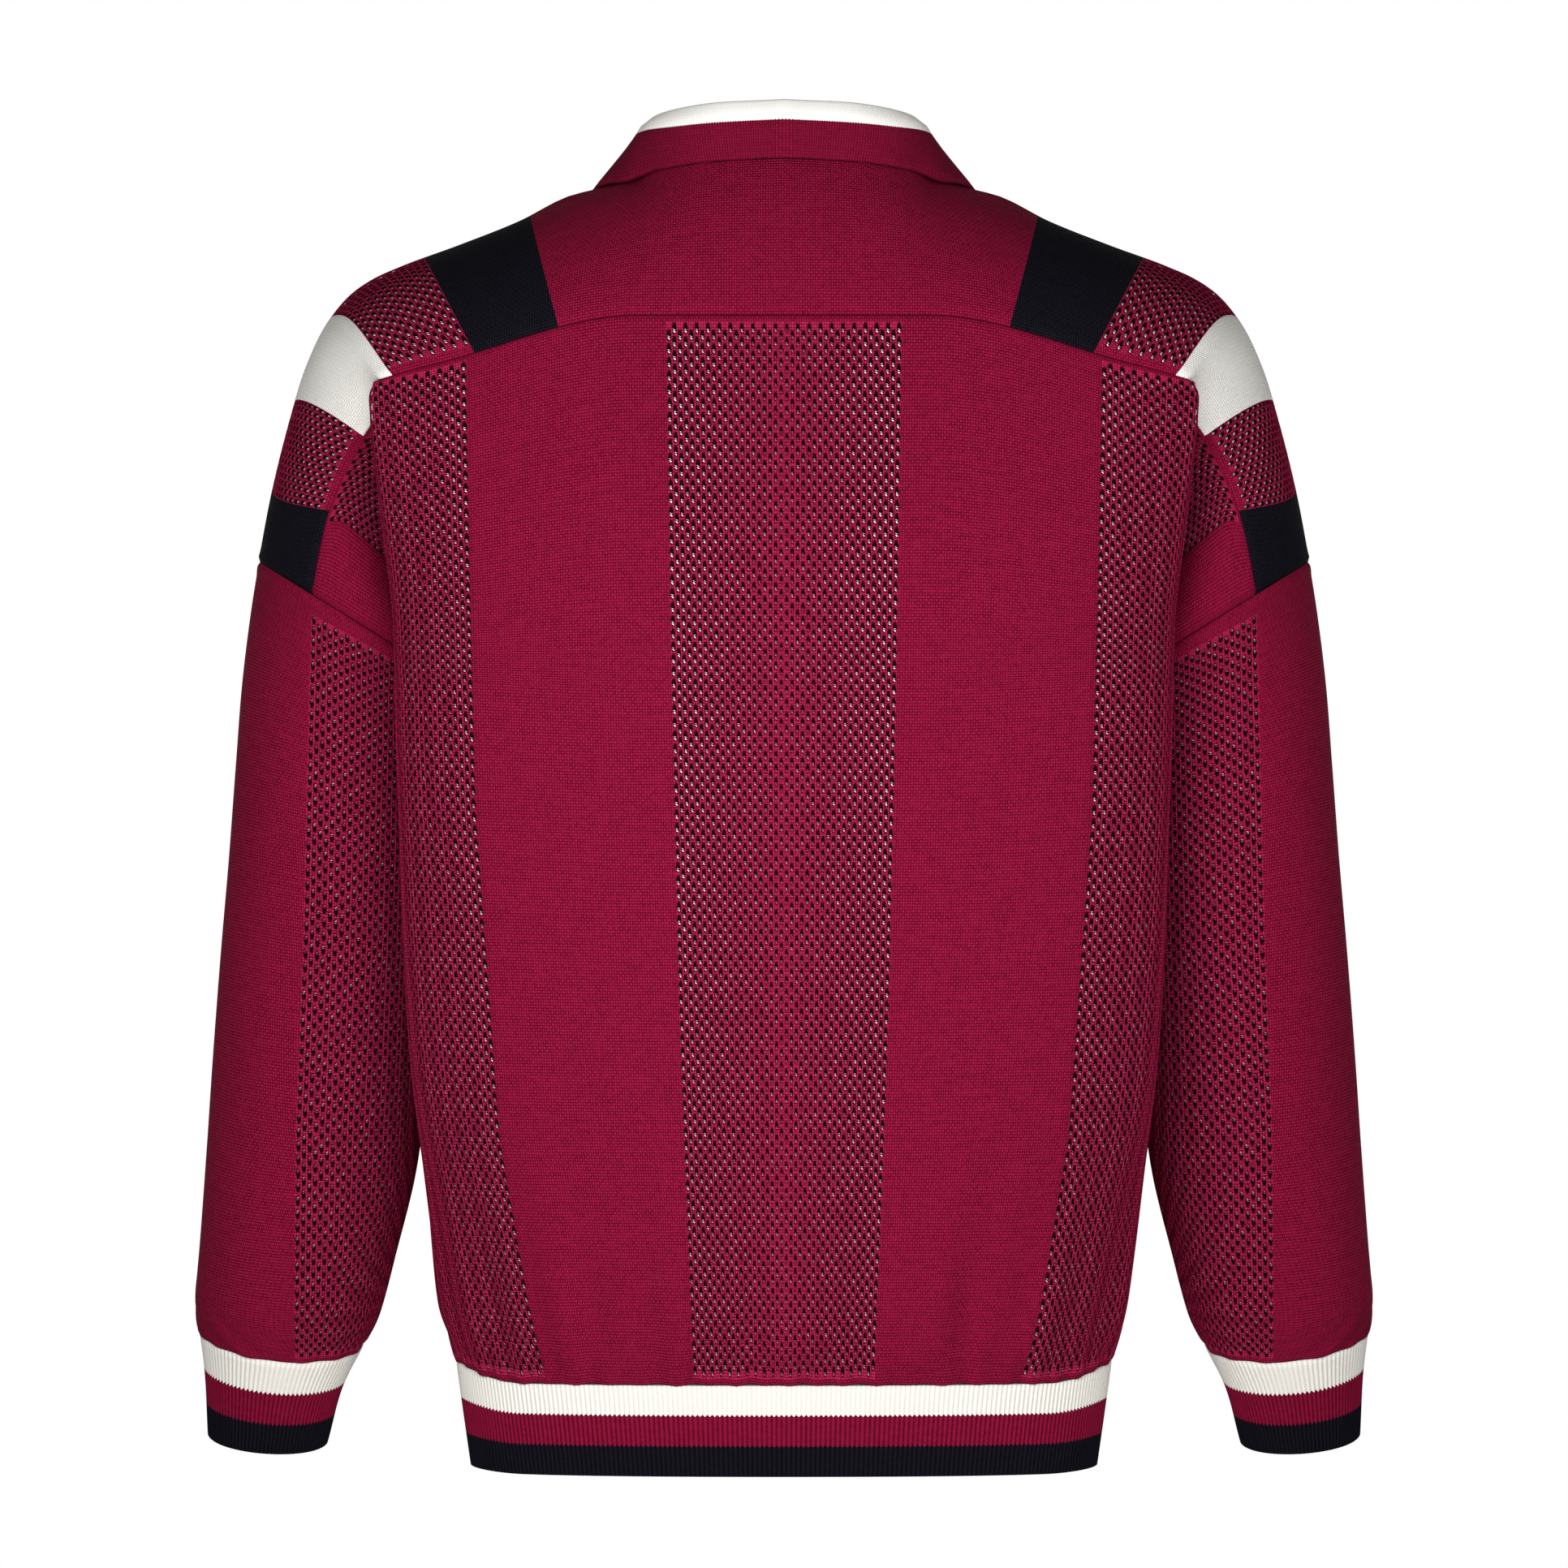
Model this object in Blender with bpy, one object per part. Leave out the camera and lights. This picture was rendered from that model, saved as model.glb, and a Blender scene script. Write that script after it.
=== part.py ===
"""Fine-knit pullover with saddle shoulders, a fold-down collar and rib cuffs and hem.

It keeps the hollow form that it has when worn, with the arms hanging.
Metres, +Z up. The wearer faces +Y, so the back panel faces -Y and the wearer's right is +X.
The origin lies midway between the two side-neck points, where the garment hangs on the shoulders.
"""

import math

import bmesh
import bpy
import numpy as np

# Cloth
WALL = 0.0020
SEAM_GAP = 0.0003
RIB_RELIEF = 0.0005

# Grid of the panels, counted for one half of the body
PANEL_COLUMNS = 12
POCKET_COLUMNS = 5
ARM_COLUMNS = 4
NECK_COLUMN = 5
SIDE_ROWS = 9
ARMHOLE_ROWS = 6
STRIP_ROWS = 5
SLEEVE_ROWS = 12
COLLAR_COLUMNS = 22
HEM_RIBS = 184
CUFF_RIBS = 48

# Torso
UNDERARM_Z = -0.2636
HEM_SEAM_Z = -0.6334
HEM_Z = -0.6833
SIDE_Y = 0.020
NECK_POINT = (0.0, 0.0990, -0.0960)

# Shape of a row across a panel, as shares of its width or depth: how far the middle runs flat,
# how far the side runs straight, and where the row leaves the middle's height for the fold's
MIDDLE_HANDLE = 0.60
SIDE_HANDLE = 0.72
DROP_START = 0.36
DROP_LENGTH = 0.66
FOLD_HANDLE = 0.14
POCKET_HANDLE = 0.50
POCKET_HOOK = 0.16
# Powers that set the rows closer near the underarm, near the cuff and near the front yoke seam
SIDE_ROW_POWER = 1.25
SLEEVE_ROW_POWER = 0.95
TOP_ROW_POWER = 2.2

# z, half width at the folds, back depth, front depth, half width at the side seam,
# back fold y, front fold y
SECTIONS = (
    (-0.6334, 0.1726, 0.1060, 0.1080, 0.1726, -0.020, 0.060),
    (-0.6220, 0.1770, 0.1115, 0.1130, 0.1770, -0.022, 0.062),
    (-0.5986, 0.1823, 0.1160, 0.1170, 0.1823, -0.025, 0.065),
    (-0.5728, 0.1862, 0.1175, 0.1190, 0.1862, -0.028, 0.068),
    (-0.5212, 0.1909, 0.1190, 0.1210, 0.1895, -0.040, 0.076),
    (-0.4825, 0.1961, 0.1200, 0.1220, 0.1870, -0.052, 0.084),
    (-0.4180, 0.2010, 0.1210, 0.1240, 0.1800, -0.060, 0.090),
    (-0.3320, 0.2040, 0.1230, 0.1280, 0.1720, -0.065, 0.096),
    (-0.2860, 0.2055, 0.1250, 0.1310, 0.1655, -0.067, 0.099),
    (-0.2636, 0.2058, 0.1250, 0.1310, 0.1695, -0.068, 0.100),
    (-0.2245, 0.2080, 0.1250, 0.1310, 0.1695, -0.069, 0.098),
    (-0.1815, 0.2135, 0.1220, 0.1270, 0.1695, -0.073, 0.092),
    (-0.1170, 0.2190, 0.1090, 0.1070, 0.1695, -0.083, 0.082),
    (-0.0710, 0.2190, 0.0980, 0.0900, 0.1695, -0.085, 0.076),
)

# Rows above the underarm.
# share of the armhole, centre back z, fold z, pocket x, pocket y, pocket z
BACK_ROWS = (
    (0.00, -0.2680, -0.2636, 0.1695, 0.0200, -0.2620),
    (0.17, -0.2370, -0.2400, 0.1735, 0.0110, -0.2430),
    (0.33, -0.2050, -0.2150, 0.1800, -0.0010, -0.2210),
    (0.67, -0.1370, -0.1560, 0.1950, -0.0320, -0.1680),
    (1.00, -0.0710, -0.1010, 0.2110, -0.0580, -0.1180),
)
FRONT_ROWS = (
    (0.00, -0.2680, -0.2636, 0.1695, 0.0200, -0.2620),
    (0.17, -0.2420, -0.2400, 0.1735, 0.0290, -0.2430),
    (0.33, -0.2150, -0.2150, 0.1800, 0.0410, -0.2210),
    (0.67, -0.1550, -0.1560, 0.1950, 0.0570, -0.1680),
    (1.00, -0.0960, -0.1010, 0.2100, 0.0610, -0.1180),
)

# Sleeve seam: an ellipse round the upper arm
RING_CENTRE = (0.2270, SIDE_Y, -0.2310)
RING_OUT = (0.0522, 0.0, 0.0326)
RING_DEPTH = 0.0700
STRIP_ANGLE = math.radians(64)
ARM_DIRECTION = (0.15, 0.0, -0.99)
# Directions across the bottom of the pocket behind the arm, near the underarm and at the yoke
POCKET_LOW = np.array([0.95, 0.30, 0.0])
POCKET_HIGH = np.array([0.50, 0.10, -0.85])
# Share of the armhole from which the lower direction turns into the upper one
POCKET_TURN = 0.33
# How far a row runs along that direction before it bends up to the fold, in metres and as a share
POCKET_REACH = 0.014
POCKET_REACH_SHARE = 0.35
# How much a row lifts off the arm's direction at the sleeve seam, and where that starts
ARM_LIFT = 0.35
ARM_LIFT_SHARE = 1 / 6

# Top line of the shoulder, from the side-neck point to the sleeve seam: x, y, z
SHOULDER = (
    (0.0770, -0.006, 0.0060),
    (0.0993, -0.004, 0.0000),
    (0.1135, -0.003, -0.0046),
    (0.1406, 0.000, -0.0186),
    (0.1724, 0.003, -0.0316),
    (0.2045, 0.006, -0.0438),
    (0.2165, 0.008, -0.0492),
    (0.2285, 0.009, -0.0572),
    (0.2399, 0.011, -0.0702),
    (0.2530, 0.013, -0.0958),
    (0.2610, 0.015, -0.1213),
    (0.2718, 0.018, -0.1620),
)

# Where a cross line of the yoke ends on its back edge and starts on the shoulder line
# share of the back edge, share of the shoulder line
YOKE_STATIONS = (
    (0.278, 0.000),
    (0.340, 0.150),
    (0.470, 0.355),
    (0.580, 0.545),
    (0.750, 0.722),
    (0.874, 0.876),
    (1.000, 1.000),
)

# How far over each cross line of the yoke starts and ends, as the slope of a round arch
NECK_TILT = math.radians(38)
SHOULDER_TILT = math.radians(8)
BACK_TILT = math.radians(78)
FRONT_TILT = math.radians(66)

# Front edge of the yoke, from the neckline towards the fold beside the arm: x, y, z
FRONT_EDGE = (
    (0.0670, 0.0440, -0.0290),
    (0.0980, 0.0590, -0.0440),
    (0.1380, 0.0770, -0.0620),
    (0.1800, 0.0860, -0.0840),
)

# Neckline from the middle of the back to the middle of the front: x, y, z
NECKLINE = (
    (0.0000, -0.0660, 0.0180),
    (0.0420, -0.0590, 0.0160),
    (0.0690, -0.0360, 0.0115),
    (0.0770, -0.0060, 0.0060),
    (0.0755, 0.0220, -0.0085),
    (0.0670, 0.0440, -0.0290),
    (0.0460, 0.0680, -0.0560),
    (0.0220, 0.0890, -0.0830),
    NECK_POINT,
)
NECK_SIDE_ROW = 3
NECK_FRONT_ROW = 5

# Collar sections: share of the neckline, stand height, lean towards the neck in degrees,
# leaf length, leaf slope in degrees
COLLAR = (
    (0.00, 0.0270, 9.0, 0.0385, 54.0),
    (0.20, 0.0268, 11.0, 0.0380, 53.0),
    (0.36, 0.0255, 18.0, 0.0375, 45.0),
    (0.48, 0.0230, 14.0, 0.0345, 37.0),
    (0.60, 0.0200, 7.0, 0.0330, 38.0),
    (0.85, 0.0140, 0.0, 0.0330, 52.0),
    (1.00, 0.0120, 0.0, 0.0330, 60.0),
)
ROLL_RADIUS = 0.0012
ROLL_STEPS = 5
LEAF_PARTS = (0.33, 0.67, 1.0)
LEAF_BULGE = 0.0015
COLLAR_END = 0.985
COLLAR_SPREAD = 0.05

# Sleeve rings: share of the sleeve, outer x, outer z, inner x, inner z, middle y,
# half depth, how far the back lies below the middle
SLEEVE = (
    (0.00, 0.2792, -0.1984, 0.1748, -0.2636, 0.0200, 0.0700, 0.0000),
    (0.08, 0.2838, -0.2288, 0.1800, -0.2790, 0.0200, 0.0670, 0.0000),
    (0.16, 0.2880, -0.2632, 0.1820, -0.3010, 0.0205, 0.0645, 0.0000),
    (0.26, 0.2915, -0.3062, 0.1835, -0.3340, 0.0215, 0.0620, 0.0010),
    (0.38, 0.2956, -0.3578, 0.1855, -0.3780, 0.0245, 0.0600, 0.0020),
    (0.50, 0.3003, -0.4094, 0.1885, -0.4260, 0.0290, 0.0580, 0.0035),
    (0.62, 0.3045, -0.4610, 0.1915, -0.4740, 0.0355, 0.0570, 0.0055),
    (0.74, 0.3085, -0.5126, 0.1968, -0.5220, 0.0430, 0.0555, 0.0080),
    (0.86, 0.3132, -0.5640, 0.2080, -0.5680, 0.0515, 0.0530, 0.0100),
    (0.94, 0.3155, -0.5960, 0.2170, -0.5980, 0.0570, 0.0485, 0.0105),
    (1.00, 0.3124, -0.6120, 0.2256, -0.6130, 0.0600, 0.0430, 0.0105),
)
CUFF = (
    (0.00, 0.3118, -0.6123, 0.2262, -0.6133, 0.0601, 0.0425, 0.0105),
    (0.30, 0.3098, -0.6285, 0.2350, -0.6295, 0.0642, 0.0385, 0.0085),
    (1.00, 0.3082, -0.6670, 0.2455, -0.6675, 0.0735, 0.0345, 0.0055),
)
CUFF_SHARES = (0.0, 0.45, 1.0)

# How much less the hem's lower edge measures than its seam, in the columns of a section after z
HEM_NARROWING = np.array([0.0060, 0.0045, 0.0045, 0.0060, 0.0, 0.0])
# How far the hem's sides stand back from the body at the seam
HEM_STEP = np.array([0.0004, 0.0, 0.0, 0.0004, 0.0, 0.0])

# Least cosine between a shared normal and its faces that still thickens a sharp fold
FOLD_COSINE = 0.85
# Least sum that still spreads the draw back at an acute corner
CORNER_SPREAD = 0.3
SHARP_EDGE = math.radians(50)

# Colours, linear
BURGUNDY = (0.215, 0.0085, 0.034)
CREAM = (0.82, 0.78, 0.69)
BLACK = (0.0075, 0.007, 0.0105)


def smooth_row(table, key):
    """The other columns of a table at one key, on a smooth curve through its rows."""
    rows = np.array(table)
    keys = rows[:, 0]
    values = rows[:, 1:]
    slopes = np.gradient(values, keys, axis=0)
    i = int(np.clip(np.searchsorted(keys, key) - 1, 0, len(keys) - 2))
    span = keys[i + 1] - keys[i]
    t = (key - keys[i]) / span
    rise = t * t * (3 - 2 * t)
    return (
        values[i] * (1 - rise)
        + values[i + 1] * rise
        + slopes[i] * span * t * (1 - t) ** 2
        - slopes[i + 1] * span * t * t * (1 - t)
    )


def smooth_curve(points, steps=24):
    """A dense smooth polyline through a few points."""
    points = np.array(points)
    lengths = np.linalg.norm(np.diff(points, axis=0), axis=1)
    keys = np.concatenate([[0.0], np.cumsum(lengths)])
    table = np.column_stack([keys, points])
    dense = []
    for start, end in zip(keys[:-1], keys[1:]):
        dense += [smooth_row(table, start + (end - start) * k / steps) for k in range(steps)]
    dense.append(points[-1])
    return np.array(dense)


def bezier(start, start_handle, end_handle, end, steps=24):
    t = np.linspace(0, 1, steps + 1)[:, None]
    return (
        start * (1 - t) ** 3
        + 3 * start_handle * t * (1 - t) ** 2
        + 3 * end_handle * t * t * (1 - t)
        + end * t**3
    )


def at_shares(line, shares):
    """Points of a polyline at shares of its length."""
    lengths = np.concatenate([[0.0], np.cumsum(np.linalg.norm(np.diff(line, axis=0), axis=1))])
    places = np.asarray(shares) * lengths[-1]
    return np.column_stack([np.interp(places, lengths, line[:, axis]) for axis in range(3)])


def shares_along(line):
    """The share of a polyline's length at each of its points."""
    lengths = np.concatenate([[0.0], np.cumsum(np.linalg.norm(np.diff(line, axis=0), axis=1))])
    return lengths / lengths[-1]


def evenly(line, count):
    points = at_shares(line, np.linspace(0, 1, count + 1))
    points[0] = line[0]
    points[-1] = line[-1]
    return points


def unit(vector):
    return vector / np.linalg.norm(vector)


def seam_ring(angle):
    """A point of the sleeve seam. 0 is on the shoulder, positive angles lie on the back."""
    x, y, z = np.array(RING_CENTRE) + np.array(RING_OUT) * math.cos(angle)
    return np.array([x, y - RING_DEPTH * math.sin(angle), z])


def armhole_angle(share):
    return math.pi + (STRIP_ANGLE - math.pi) * share


def torso_row(centre, fold, pocket):
    """Half a row of a panel as two dense lines: the middle to the fold, the fold to the pocket."""
    side = 1.0 if centre[1] > 0 else -1.0
    along_y = np.array([0.0, side, 0.0])
    depth = abs(centre[1] - fold[1])
    flat = centre + np.array([MIDDLE_HANDLE * fold[0], 0, 0])
    panel = bezier(centre, flat, fold + along_y * SIDE_HANDLE * depth, fold)
    rise = np.clip((panel[:, 0] / fold[0] - DROP_START) / DROP_LENGTH, 0, 1)
    panel[:, 2] = centre[2] + (fold[2] - centre[2]) * rise * rise * (3 - 2 * rise)
    panel[-1] = fold
    run = abs(pocket[1] - fold[1])
    hook = np.array([POCKET_HOOK * (fold[0] - pocket[0]), 0, 0])
    lead = pocket + along_y * POCKET_HANDLE * run - hook
    return panel, bezier(fold, fold - along_y * FOLD_HANDLE * run, lead, pocket)


def crossing(share, side):
    """The direction in which a row crosses the bottom of the pocket, from the body to the arm."""
    turned = max(0.0, (share - POCKET_TURN) / (1 - POCKET_TURN))
    direction = POCKET_LOW + (POCKET_HIGH - POCKET_LOW) * turned
    if share == 0:
        direction = np.array([1.0, 0.0, 0.0])
    return unit(direction * np.array([1.0, -side, 1.0]))


def pocket_line(fold, pocket, share, side):
    """A row's stretch from the fold to the bottom of the pocket beside the arm."""
    along_y = np.array([0.0, side, 0.0])
    run = abs(pocket[1] - fold[1])
    reach = min(POCKET_REACH, POCKET_REACH_SHARE * np.linalg.norm(pocket - fold))
    lead = pocket - crossing(share, side) * reach
    return bezier(fold, fold - along_y * FOLD_HANDLE * run, lead, pocket)


def arm_line(pocket, end, share, side):
    """A row's stretch from the bottom of the pocket over the upper arm to the sleeve seam."""
    reach = np.linalg.norm(end - pocket) / 3
    lift = np.array([0.0, side * ARM_LIFT, 0.0]) * min(1.0, share / ARM_LIFT_SHARE)
    lift = lift - np.array(ARM_DIRECTION)
    return bezier(pocket, pocket + crossing(share, side) * reach, end + lift * reach, end)


def panel_rows(side):
    """The rows of half a panel below and above the underarm. side is -1 back, 1 front."""
    depth_column = 1 if side < 0 else 2
    fold_column = 4 if side < 0 else 5
    low_rows = []
    for k in range(SIDE_ROWS + 1):
        share = k / SIDE_ROWS
        z = HEM_SEAM_Z + (UNDERARM_Z - HEM_SEAM_Z) * (1 - (1 - share) ** SIDE_ROW_POWER)
        section = smooth_row(SECTIONS, z)
        centre = np.array([0.0, side * section[depth_column], z])
        fold = np.array([section[0], section[fold_column], z])
        seam = np.array([section[3], SIDE_Y, z])
        panel, into = torso_row(centre, fold, seam)
        into = evenly(into, POCKET_COLUMNS)[1:]
        low_rows.append(np.concatenate([evenly(panel, PANEL_COLUMNS), into]))
    table = BACK_ROWS if side < 0 else FRONT_ROWS
    high_rows = []
    for k in range(ARMHOLE_ROWS + 1):
        share = k / ARMHOLE_ROWS
        centre_z, fold_z, *pocket = smooth_row(table, share)
        section = smooth_row(SECTIONS, fold_z)
        centre = np.array([0.0, side * smooth_row(SECTIONS, centre_z)[depth_column], centre_z])
        fold = np.array([section[0], section[fold_column], fold_z])
        pocket = np.array(pocket)
        end = seam_ring(-side * armhole_angle(share))
        panel, into = torso_row(centre, fold, pocket)
        if share > 0:
            into = pocket_line(fold, pocket, share, side)
        over = arm_line(pocket, end, share, side)
        parts = [
            evenly(panel, PANEL_COLUMNS),
            evenly(into, POCKET_COLUMNS)[1:],
            evenly(over, ARM_COLUMNS)[1:],
        ]
        high_rows.append(np.concatenate(parts))
    low_rows[-1] = high_rows[0][: PANEL_COLUMNS + POCKET_COLUMNS + 1]
    return low_rows, high_rows


def neckline_parts():
    """The neckline as three dense lines: middle back, side of the yoke, and front."""
    line = smooth_curve(NECKLINE)
    steps = (len(line) - 1) // (len(NECKLINE) - 1)
    side = NECK_SIDE_ROW * steps
    front = NECK_FRONT_ROW * steps
    return line[: side + 1], line[side : front + 1], line[front:]


def arch(top, foot, start, end, count):
    """Rounded cross line of the yoke, from its top to its foot."""
    points = []
    for k in range(count + 1):
        angle = start + (end - start) * k / count
        out = (math.sin(angle) - math.sin(start)) / (math.sin(end) - math.sin(start))
        drop = (math.cos(start) - math.cos(angle)) / (math.cos(start) - math.cos(end))
        points.append(top + (foot - top) * np.array([drop, out, drop]))
    points[0] = top
    points[-1] = foot
    return np.array(points)


def yoke_columns(back_edge, front_edge):
    """Half the yoke as columns. Back columns run edge to top, front columns top to edge."""
    last = len(back_edge) - 1
    neck_back, neck_side, _ = neckline_parts()
    shoulder = smooth_curve(SHOULDER + (tuple(seam_ring(0)),))
    stations = np.array(YOKE_STATIONS)
    shares = np.interp(shares_along(back_edge)[NECK_COLUMN:], stations[:, 0], stations[:, 1])
    tops = np.concatenate([evenly(neck_back, NECK_COLUMN)[:-1], at_shares(shoulder, shares)])
    tops[NECK_COLUMN] = neck_back[-1]
    tops[-1] = seam_ring(0)
    backs = []
    fronts = [evenly(neck_side, STRIP_ROWS)]
    for k in range(last):
        near_neck = min(1.0, k / NECK_COLUMN)
        outward = max(0.0, (k - NECK_COLUMN) / (last - NECK_COLUMN))
        start = NECK_TILT * (1 - near_neck) + SHOULDER_TILT * near_neck * (1 - outward) ** 2
        end = BACK_TILT + (STRIP_ANGLE - BACK_TILT) * outward
        backs.append(arch(tops[k], back_edge[k], start, end, STRIP_ROWS)[::-1])
        if k > NECK_COLUMN:
            end = FRONT_TILT + (STRIP_ANGLE - FRONT_TILT) * outward
            fronts.append(arch(tops[k], front_edge[k], start, end, STRIP_ROWS))
    angles = [STRIP_ANGLE * step / STRIP_ROWS for step in range(STRIP_ROWS + 1)]
    backs.append(np.array([seam_ring(angle) for angle in angles[::-1]]))
    fronts.append(np.array([seam_ring(-angle) for angle in angles]))
    backs[-1][0] = back_edge[-1]
    fronts[0][-1] = front_edge[NECK_COLUMN]
    fronts[-1][-1] = front_edge[-1]
    for column, back in zip(fronts, backs[NECK_COLUMN:]):
        column[0] = back[-1]
    return backs, fronts


def front_top_row(row):
    """Top edge of half the front: up the neckline, then out along the yoke to the fold."""
    _, _, neck_front = neckline_parts()
    neck = evenly(neck_front[::-1], NECK_COLUMN)
    edge = smooth_curve(FRONT_EDGE + (tuple(row[PANEL_COLUMNS]),))
    edge = evenly(edge, PANEL_COLUMNS - NECK_COLUMN)
    return np.concatenate([neck, edge[1:], row[PANEL_COLUMNS + 1 :]])


def raise_to_top(rows):
    """Draws the rows above the underarm up to the true top edge of the front."""
    top = front_top_row(rows[-1])
    lift = top - rows[-1]
    for k in range(1, ARMHOLE_ROWS):
        rows[k] = rows[k] + lift * (k / ARMHOLE_ROWS) ** TOP_ROW_POWER
    rows[-1] = top
    return rows


def mirrored(points):
    return np.asarray(points) * np.array([-1.0, 1.0, 1.0])


def whole_rows(half_rows):
    """Rows from the -X side to the +X side."""
    return [np.concatenate([mirrored(row[:0:-1]), row]) for row in half_rows]


def grid_faces(rows, flip=False):
    """The faces between rows of points, as lists of four points."""
    faces = []
    for low, high in zip(rows[:-1], rows[1:]):
        for k in range(len(low) - 1):
            face = [low[k], low[k + 1], high[k + 1], high[k]]
            faces.append(face[::-1] if flip else face)
    return faces


def sleeve_ring(row, angles):
    """A ring of the sleeve or cuff at the given angles. 0 is the outer side."""
    outer_x, outer_z, inner_x, inner_z, middle_y, depth, drop = row
    points = []
    for angle in angles:
        out = (1 + math.cos(angle)) / 2
        back = math.sin(angle)
        x = inner_x + (outer_x - inner_x) * out
        z = inner_z + (outer_z - inner_z) * out - drop * back
        points.append((x, middle_y - depth * back, z))
    return np.array(points)


def sleeve_angles():
    """Angles that meet the columns and rows of the other panels at the sleeve seam."""
    back = [armhole_angle(k / ARMHOLE_ROWS) for k in range(ARMHOLE_ROWS + 1)]
    strip = [STRIP_ANGLE * (1 - k / STRIP_ROWS) for k in range(1, STRIP_ROWS + 1)]
    half = back + strip
    return half + [-angle for angle in half[-2::-1]]


def sleeve_rows():
    angles = sleeve_angles()
    rows = [np.array([seam_ring(angle) for angle in angles])]
    for k in range(1, SLEEVE_ROWS + 1):
        share = (k / SLEEVE_ROWS) ** SLEEVE_ROW_POWER
        rows.append(sleeve_ring(smooth_row(SLEEVE, share), angles))
    for row in rows:
        row[-1] = row[0]
    return rows


def collar_frame(line, share):
    """A neckline point with its outward and upward directions."""
    step = 0.01
    point, before, after = at_shares(line, [share, max(0.0, share - step), min(1.0, share + step)])
    if share < step:
        before = mirrored(after)
    if share > 1 - step:
        after = mirrored(before)
    tangent = unit(after - before)
    outward = unit(np.cross(tangent, (0.0, 0.0, 1.0)))
    return point, outward, np.cross(outward, tangent)


def collar_section(line, share):
    """The hidden face of the folded collar, from the neck seam over the roll to the leaf edge."""
    height, lean, leaf, slope = smooth_row(COLLAR, share)
    point, outward, upward = collar_frame(line, share)
    lean = math.radians(lean)
    slope = math.radians(slope)
    stand_up = upward * math.cos(lean) - outward * math.sin(lean)
    stand_out = outward * math.cos(lean) + upward * math.sin(lean)
    foot = point + stand_up * SEAM_GAP
    centre = point + stand_up * (height - WALL - ROLL_RADIUS) + stand_out * ROLL_RADIUS
    turn_end = lean + slope
    section = [foot, (foot + centre - stand_out * ROLL_RADIUS) / 2]
    for k in range(ROLL_STEPS + 1):
        angle = math.pi - (math.pi / 2 + turn_end) * k / ROLL_STEPS
        turned = stand_out * math.cos(angle) + stand_up * math.sin(angle)
        section.append(centre + turned * ROLL_RADIUS)
    leaf_down = outward * math.cos(slope) - upward * math.sin(slope)
    leaf_out = outward * math.sin(slope) + upward * math.cos(slope)
    start = section[-1]
    for part in LEAF_PARTS:
        bulge = LEAF_BULGE * math.sin(math.pi * part)
        section.append(start + leaf_down * leaf * part + leaf_out * bulge)
    return section


def collar_rows():
    """Rows of the collar from the seam to the leaf edge, each from the -X end to the +X end."""
    back, side, front = neckline_parts()
    line = np.concatenate([back, side[1:], front[1:]])
    halves = []
    for k in range(COLLAR_COLUMNS + 1):
        share = COLLAR_END * k / COLLAR_COLUMNS
        section = collar_section(line, share)
        spread = collar_section(line, share * (1 - COLLAR_SPREAD))
        shift = np.linspace(0, 1, len(section))[:, None]
        halves.append(np.array(section) * (1 - shift) + np.array(spread) * shift)
    return whole_rows(list(np.swapaxes(np.array(halves), 0, 1)))


def body_ring(section, z, count):
    """A ring round the body at one section, evenly spaced, from the middle of the back."""
    halves = []
    for side, depth, fold_y in ((-1, section[1], section[4]), (1, section[2], section[5])):
        centre = np.array([0.0, side * depth, z])
        fold = np.array([section[0], fold_y, z])
        seam = np.array([section[3], SIDE_Y, z])
        panel, into = torso_row(centre, fold, seam)
        halves.append(np.concatenate([panel, into[1:]]))
    right = np.concatenate([halves[0], halves[1][-2::-1]])
    line = np.concatenate([right, mirrored(right[-2::-1])])
    return evenly(line, count)


def hem_rows(count):
    top = smooth_row(SECTIONS, HEM_SEAM_Z)
    rows = []
    for share in (0.0, 1.0):
        z = HEM_SEAM_Z - SEAM_GAP + (HEM_Z - HEM_SEAM_Z) * share
        rows.append(body_ring(top - HEM_STEP - HEM_NARROWING * share, z, count))
    return rows


def cuff_rows(count):
    angles = [math.pi - 2 * math.pi * k / count for k in range(count + 1)]
    rows = [sleeve_ring(smooth_row(CUFF, share), angles) for share in CUFF_SHARES]
    for row in rows:
        row[-1] = row[0]
    return rows


def point_key(point):
    """Whole numbers that two points share if they are the same within a thousandth of a millimetre."""
    return tuple(int(round(value * 1e6)) for value in point)


def weld(panels):
    """Joins the panels' faces on shared points. Gives points, normals and faces by name."""
    numbers = {}
    points = []
    faces = {}
    for name, quads in panels.items():
        faces[name] = []
        for quad in quads:
            face = []
            for point in quad:
                key = point_key(point)
                if key not in numbers:
                    numbers[key] = len(points)
                    points.append(np.array(point, dtype=float))
                if numbers[key] not in face:
                    face.append(numbers[key])
            if len(face) > 2:
                faces[name].append(face)
    areas = [[] for _ in points]
    for panel in faces.values():
        for face in panel:
            first, *others = (points[corner] for corner in face)
            area = sum(np.cross(a - first, b - first) for a, b in zip(others, others[1:]))
            for corner in face:
                areas[corner].append(area)
    normals = []
    for parts in areas:
        normal = unit(sum(parts))
        facing = np.dot(sum(unit(part) for part in parts), normal) / len(parts)
        normals.append(normal / max(FOLD_COSINE, facing))
    return points, normals, faces


def open_edges(faces):
    """Edges of a panel that only one of its faces has, each with the face on its left."""
    edges = {(face[k], face[(k + 1) % len(face)]) for face in faces for k in range(len(face))}
    return [edge for edge in edges if (edge[1], edge[0]) not in edges]


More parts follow.
